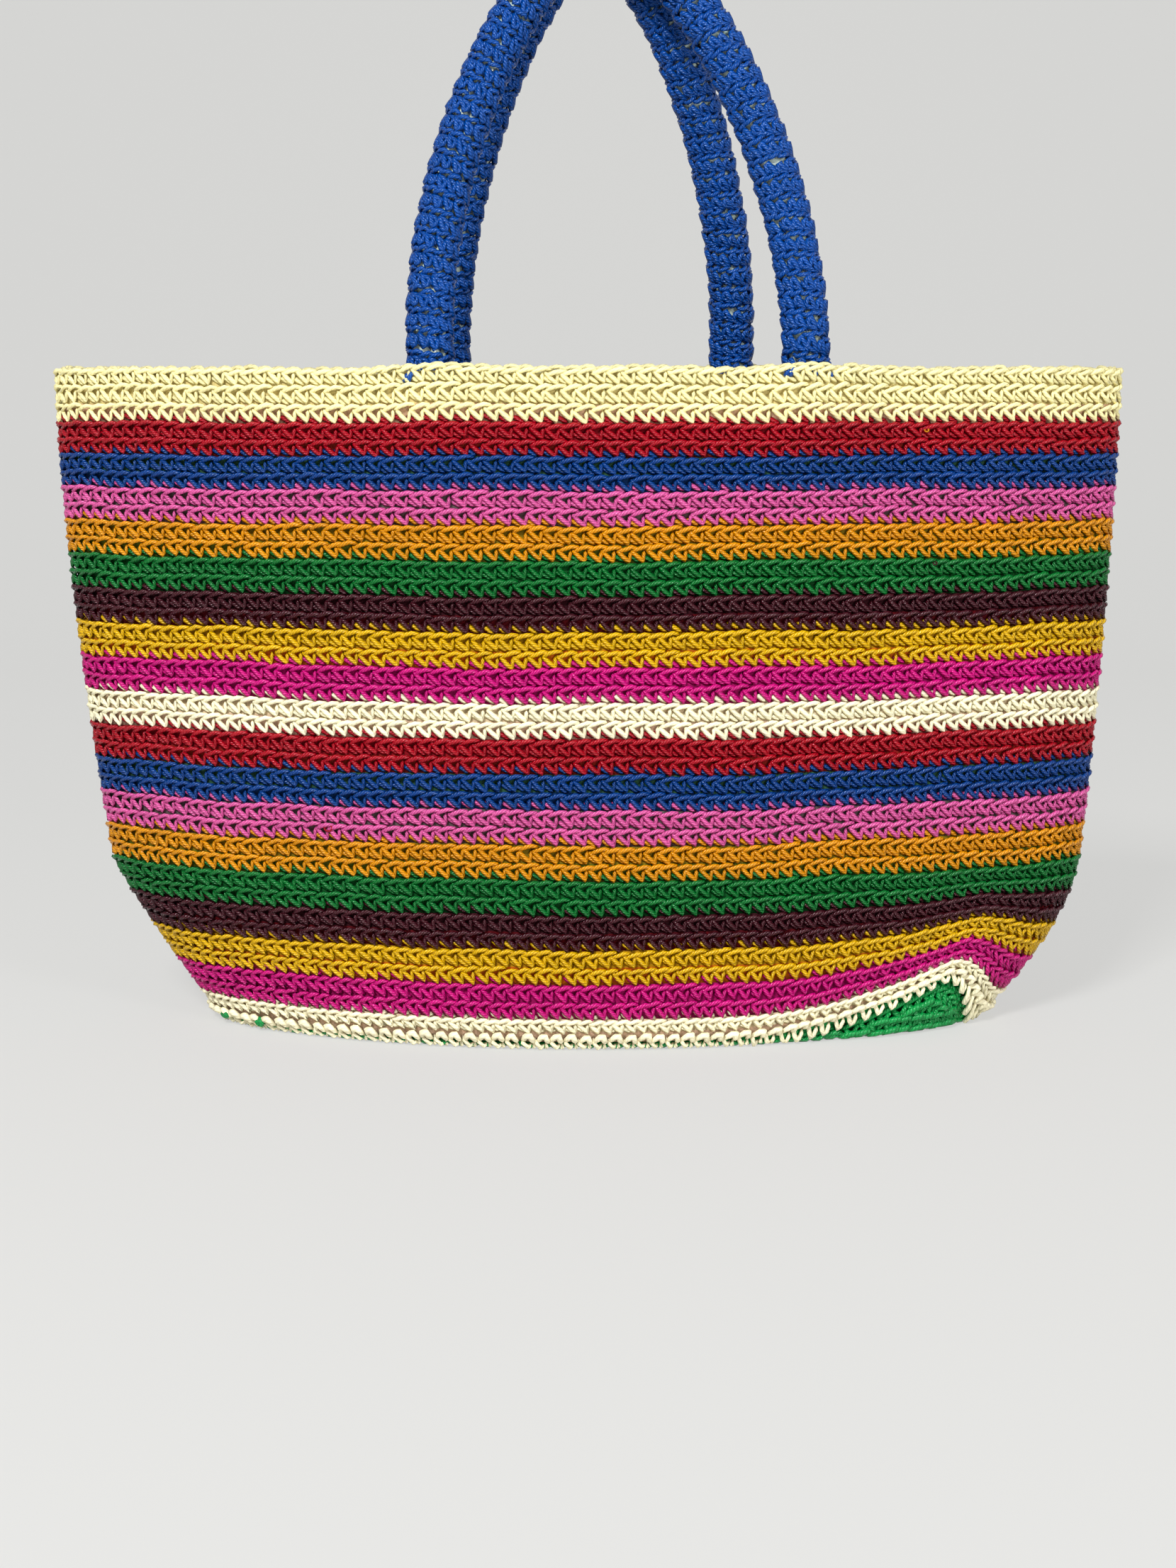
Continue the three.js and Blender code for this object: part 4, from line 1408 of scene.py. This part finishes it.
@dataclass
class Lashings:
    """The blue yarn that holds a handle end to the wall: turns round the end, and stitches through the rim."""

    plan: WallPlan
    palette: Palette
    radius: float = 10.45
    yarn: float = 0.75
    top: float = 262.9
    stations: int = 58

    def build(self) -> list[bpy.types.Object]:
        """One piece for each foot."""
        made = []
        for number, (name, x, face, _) in enumerate(self.plan.feet):
            y = face * self.plan.foot_from_middle
            turn = np.linspace(0.0, 4.0 * np.pi, self.stations)
            height = self.top - self.yarn - 2.0 * self.yarn * turn / TAU
            line = np.stack([x + self.radius * np.cos(turn), y + self.radius * np.sin(turn), height], axis=-1)
            facing = np.stack([np.cos(turn), np.sin(turn), np.zeros_like(turn)], axis=-1)
            # Depth 0.9 gives the lashing a little of the cords' painted shade.
            radius, depth = np.full(self.stations, self.yarn), np.full((1, self.stations), 0.9)
            parts = [yarn_tubes(line[None], facing[None], radius, 6, np.zeros(1), depth)]
            rng = np.random.default_rng(SEED + 70 + number)
            parts.append(self.through(x, face, rng))
            surface = Surface.joined(parts)
            piece = surface.to_object(f"{name}_lashing_yarn", [self.palette.cord(YarnColour.HANDLE)])
            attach(piece, "bag")
            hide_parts(f"{name}_lashing")
            LOG.info("%s: %d triangles", piece.name, surface.triangles())
            made.append(piece)
        return made

    def through(self, x: float, face: int, rng: np.random.Generator) -> Surface:
        """Short blue stitches that show between the loops of the rim's first row, in front of a handle end."""
        across = np.array([-8.6, -6.9, 2.4, 8.8])[:, None]
        below = np.array([4.3, 4.0, 4.2, 5.2])[:, None] - (2.0 if x > 0 else 0.0)
        reach = np.array([2.0, 2.3, 1.7, 1.2])[:, None] * rng.uniform(0.9, 1.1, (4, 1))
        share = np.linspace(-1.0, 1.0, 6)
        slope = np.array([0.5, 0.4, -0.5, -0.3])[:, None]
        angle = face * np.arccos((x + across + slope * reach * share) / self.plan.rim_half_width)
        height = self.plan.rim_height - below + reach * share
        out = np.array([-0.9, -0.7, -1.3, -1.4])[:, None] - 1.9 * np.abs(share) ** 2.5
        normal = self.plan.normal(angle, height)
        line = self.plan.point(angle, height) + out[..., None] * normal
        # Depth 0.8 gives these stitches some of the cords' painted shade.
        return yarn_tubes(line, normal, np.full(6, 1.0), 5, np.zeros(4), np.full((4, 6), 0.8))


@dataclass(frozen=True)
class LooseEnd:
    """A short end or knot of yarn on the wall's face. Sizes are in mm, and proud is how far it stands out."""

    name: str
    colour: YarnColour
    angle: float
    height: float
    size: float
    radius: float
    proud: float


LOOSE_ENDS = (
    LooseEnd("orange_fluff", YarnColour.ORANGE, -0.915, 242.9, 1.5, 0.3, 0.5),
    LooseEnd("brown_fluff", YarnColour.MAROON, -0.8814, 191.8, 1.5, 0.3, 0.5),
    LooseEnd("red_end", YarnColour.RED, -2.1101, 87.9, 3.2, 0.35, 0.3),
    # The green knots take the base's green with painted light.
    LooseEnd("green_knot_left", YarnColour.GREEN_PAINTED_LIGHT, -2.84, 4.6, 2.4, 1.25, 1.2),
    LooseEnd("green_knot_right", YarnColour.GREEN_PAINTED_LIGHT, -2.60, 4.2, 2.6, 1.3, 1.2),
)


@dataclass
class LooseEnds:
    """The few short ends and knots that stick out of the wall."""

    plan: WallPlan
    palette: Palette

    def build(self) -> list[bpy.types.Object]:
        """One small piece for each: a curl of one and a half turns whose ends dive into the stitches."""
        made = []
        for end in LOOSE_ENDS:
            share = np.linspace(0.0, 1.0, 12)
            turn = 3.0 * np.pi * share
            reach = end.size * (0.35 + 0.65 * share)
            across = end.size * (share - 0.5) + 0.5 * reach * np.cos(turn)
            up = 0.45 * reach * np.sin(turn)
            out = end.proud - 2.6 * np.abs(2.0 * share - 1.0) ** 4
            angle = end.angle + across / (self.plan.rim_half_width * abs(math.sin(end.angle)))
            height = np.maximum(end.height + up, 1.2)
            normal = self.plan.normal(angle, np.maximum(height, 2.0))
            line = self.plan.point(angle, height) + out[:, None] * normal
            tube = yarn_tubes(line[None], normal[None], np.full(12, end.radius), 5, np.zeros(1), np.full((1, 12), 1.0))
            piece = tube.to_object(end.name, [self.palette.cord(end.colour)])
            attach(piece, "bag")
            made.append(piece)
        LOG.info("loose ends: %d pieces", len(made))
        return made


# ---------------------------------------------------------------- studio


@dataclass(frozen=True)
class Lamp:
    """A square lamp, in metres and watts."""

    name: str
    place: tuple[float, float, float]
    size: float
    power: float


LAMPS = (Lamp("key", (-0.5, -1.5, 1.4), 0.42, 37.0), Lamp("fill", (1.3, -1.6, 0.8), 0.5, 15.0))


@dataclass
class Studio:
    """Floor, backdrop, soft lamps and the camera of the photograph. Metres."""

    camera_back: float = 0.9586
    camera_height: float = 0.260
    pitch_degrees: float = 9.6
    focal_pixels: float = 3325.0
    frame_pixels: float = 2212.0
    sensor: float = 36.0
    grey: tuple[float, float, float] = (0.885, 0.885, 0.878)
    floor_grey: tuple[float, float, float] = (0.83, 0.83, 0.82)
    even_share: float = 0.72
    aim: tuple[float, float, float] = (0.0, 0.0, 0.15)
    world_strength: float = 0.43

    def camera(self) -> None:
        """A camera in front of the bag's middle, at the height of the rim, looking a little down."""
        data = bpy.data.cameras.new("view")
        data.sensor_width = self.sensor
        data.lens = self.sensor * self.focal_pixels / self.frame_pixels
        data.clip_start = 0.05
        made = bpy.data.objects.new("view", data)
        made.location = (0.0, -self.camera_back, self.camera_height)
        made.rotation_euler = (math.radians(90.0 - self.pitch_degrees), 0.0, 0.0)
        bpy.context.scene.collection.objects.link(made)
        bpy.context.scene.camera = made

    def lamp(self, lamp: Lamp) -> None:
        """One square soft lamp that aims at the bag."""
        data = bpy.data.lights.new(lamp.name, "AREA")
        data.size = lamp.size
        data.energy = lamp.power
        made = bpy.data.objects.new(lamp.name, data)
        made.location = lamp.place
        made.rotation_euler = (Vector(self.aim) - Vector(lamp.place)).to_track_quat("-Z", "Y").to_euler()
        bpy.context.scene.collection.objects.link(made)

    def surroundings(self) -> None:
        """The pale floor that sweeps up into the backdrop, and the world's light.

        The sweep's profile is a floor line, a quarter circle and a wall line, carried sideways as a grid.
        """
        turn = np.linspace(0.0, np.pi / 2.0, 24)
        y = np.concatenate([[-6.0, -2.0], 1.2 + 1.5 * np.sin(turn), [2.7]])
        z = np.concatenate([[0.0, 0.0], 1.5 - 1.5 * np.cos(turn), [6.0]])
        grid = np.stack([np.stack([np.full(len(y), x), y, z], axis=-1) for x in (6.0, -6.0)]) * 1000.0
        surface = wrapped_grid(grid, False, False, 0)
        floor = surface.to_object("floor_and_backdrop", [self.sweep_finish()])
        world = bpy.data.worlds.new("soft_room")
        bpy.context.scene.world = world
        world.use_nodes = True
        light = world.node_tree.nodes["Background"]
        light.inputs["Color"].default_value = (1.0, 1.0, 1.0, 1.0)
        light.inputs["Strength"].default_value = self.world_strength

    def sweep_finish(self) -> bpy.types.Material:
        """Matt pale grey. Where a view ray meets it, more than half of it is its even own colour, not its shading."""
        material, tree, shader = new_material("pale_sweep")
        constants = {"Base Color": srgb(*self.floor_grey), "Roughness": 0.9, "Specular IOR Level": 0.1}
        connect(tree, shader, constants)
        glow, rays, mix = (add_node(tree, kind) for kind in ("Emission", "LightPath", "MixShader"))
        glow.inputs["Color"].default_value = srgb(*self.grey)
        seen = math_node(tree, "MAXIMUM", rays.outputs["Is Camera Ray"], rays.outputs["Is Glossy Ray"])
        seen = math_node(tree, "MAXIMUM", seen, rays.outputs["Is Transmission Ray"])
        tree.links.new(math_node(tree, "MULTIPLY", seen, self.even_share), mix.inputs["Fac"])
        tree.links.new(shader.outputs["BSDF"], mix.inputs[1])
        tree.links.new(glow.outputs["Emission"], mix.inputs[2])
        tree.links.new(mix.outputs["Shader"], tree.nodes["Material Output"].inputs["Surface"])
        return material

    def build(self) -> None:
        """The whole studio."""
        self.surroundings()
        for lamp in LAMPS:
            self.lamp(lamp)
        self.camera()
        bpy.context.scene.view_settings.view_transform = "Standard"


# ---------------------------------------------------------------- all of it


def main() -> None:
    """Loads the frame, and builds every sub-assembly."""
    logging.basicConfig(level=logging.INFO, format="%(message)s")
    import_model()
    plan = WallPlan()
    palette = Palette()
    hose = HoseFinish().build()
    CrochetWall(plan, palette).build()
    CrochetBase(plan, palette).build()
    for number, size in enumerate((FRONT_HANDLE, REAR_HANDLE)):
        Handle(size, plan, palette, hose).build(np.random.default_rng(SEED + 60 + number))
    Lashings(plan, palette).build()
    LooseEnds(plan, palette).build()
    Studio().build()


if __name__ == "__main__":
    main()
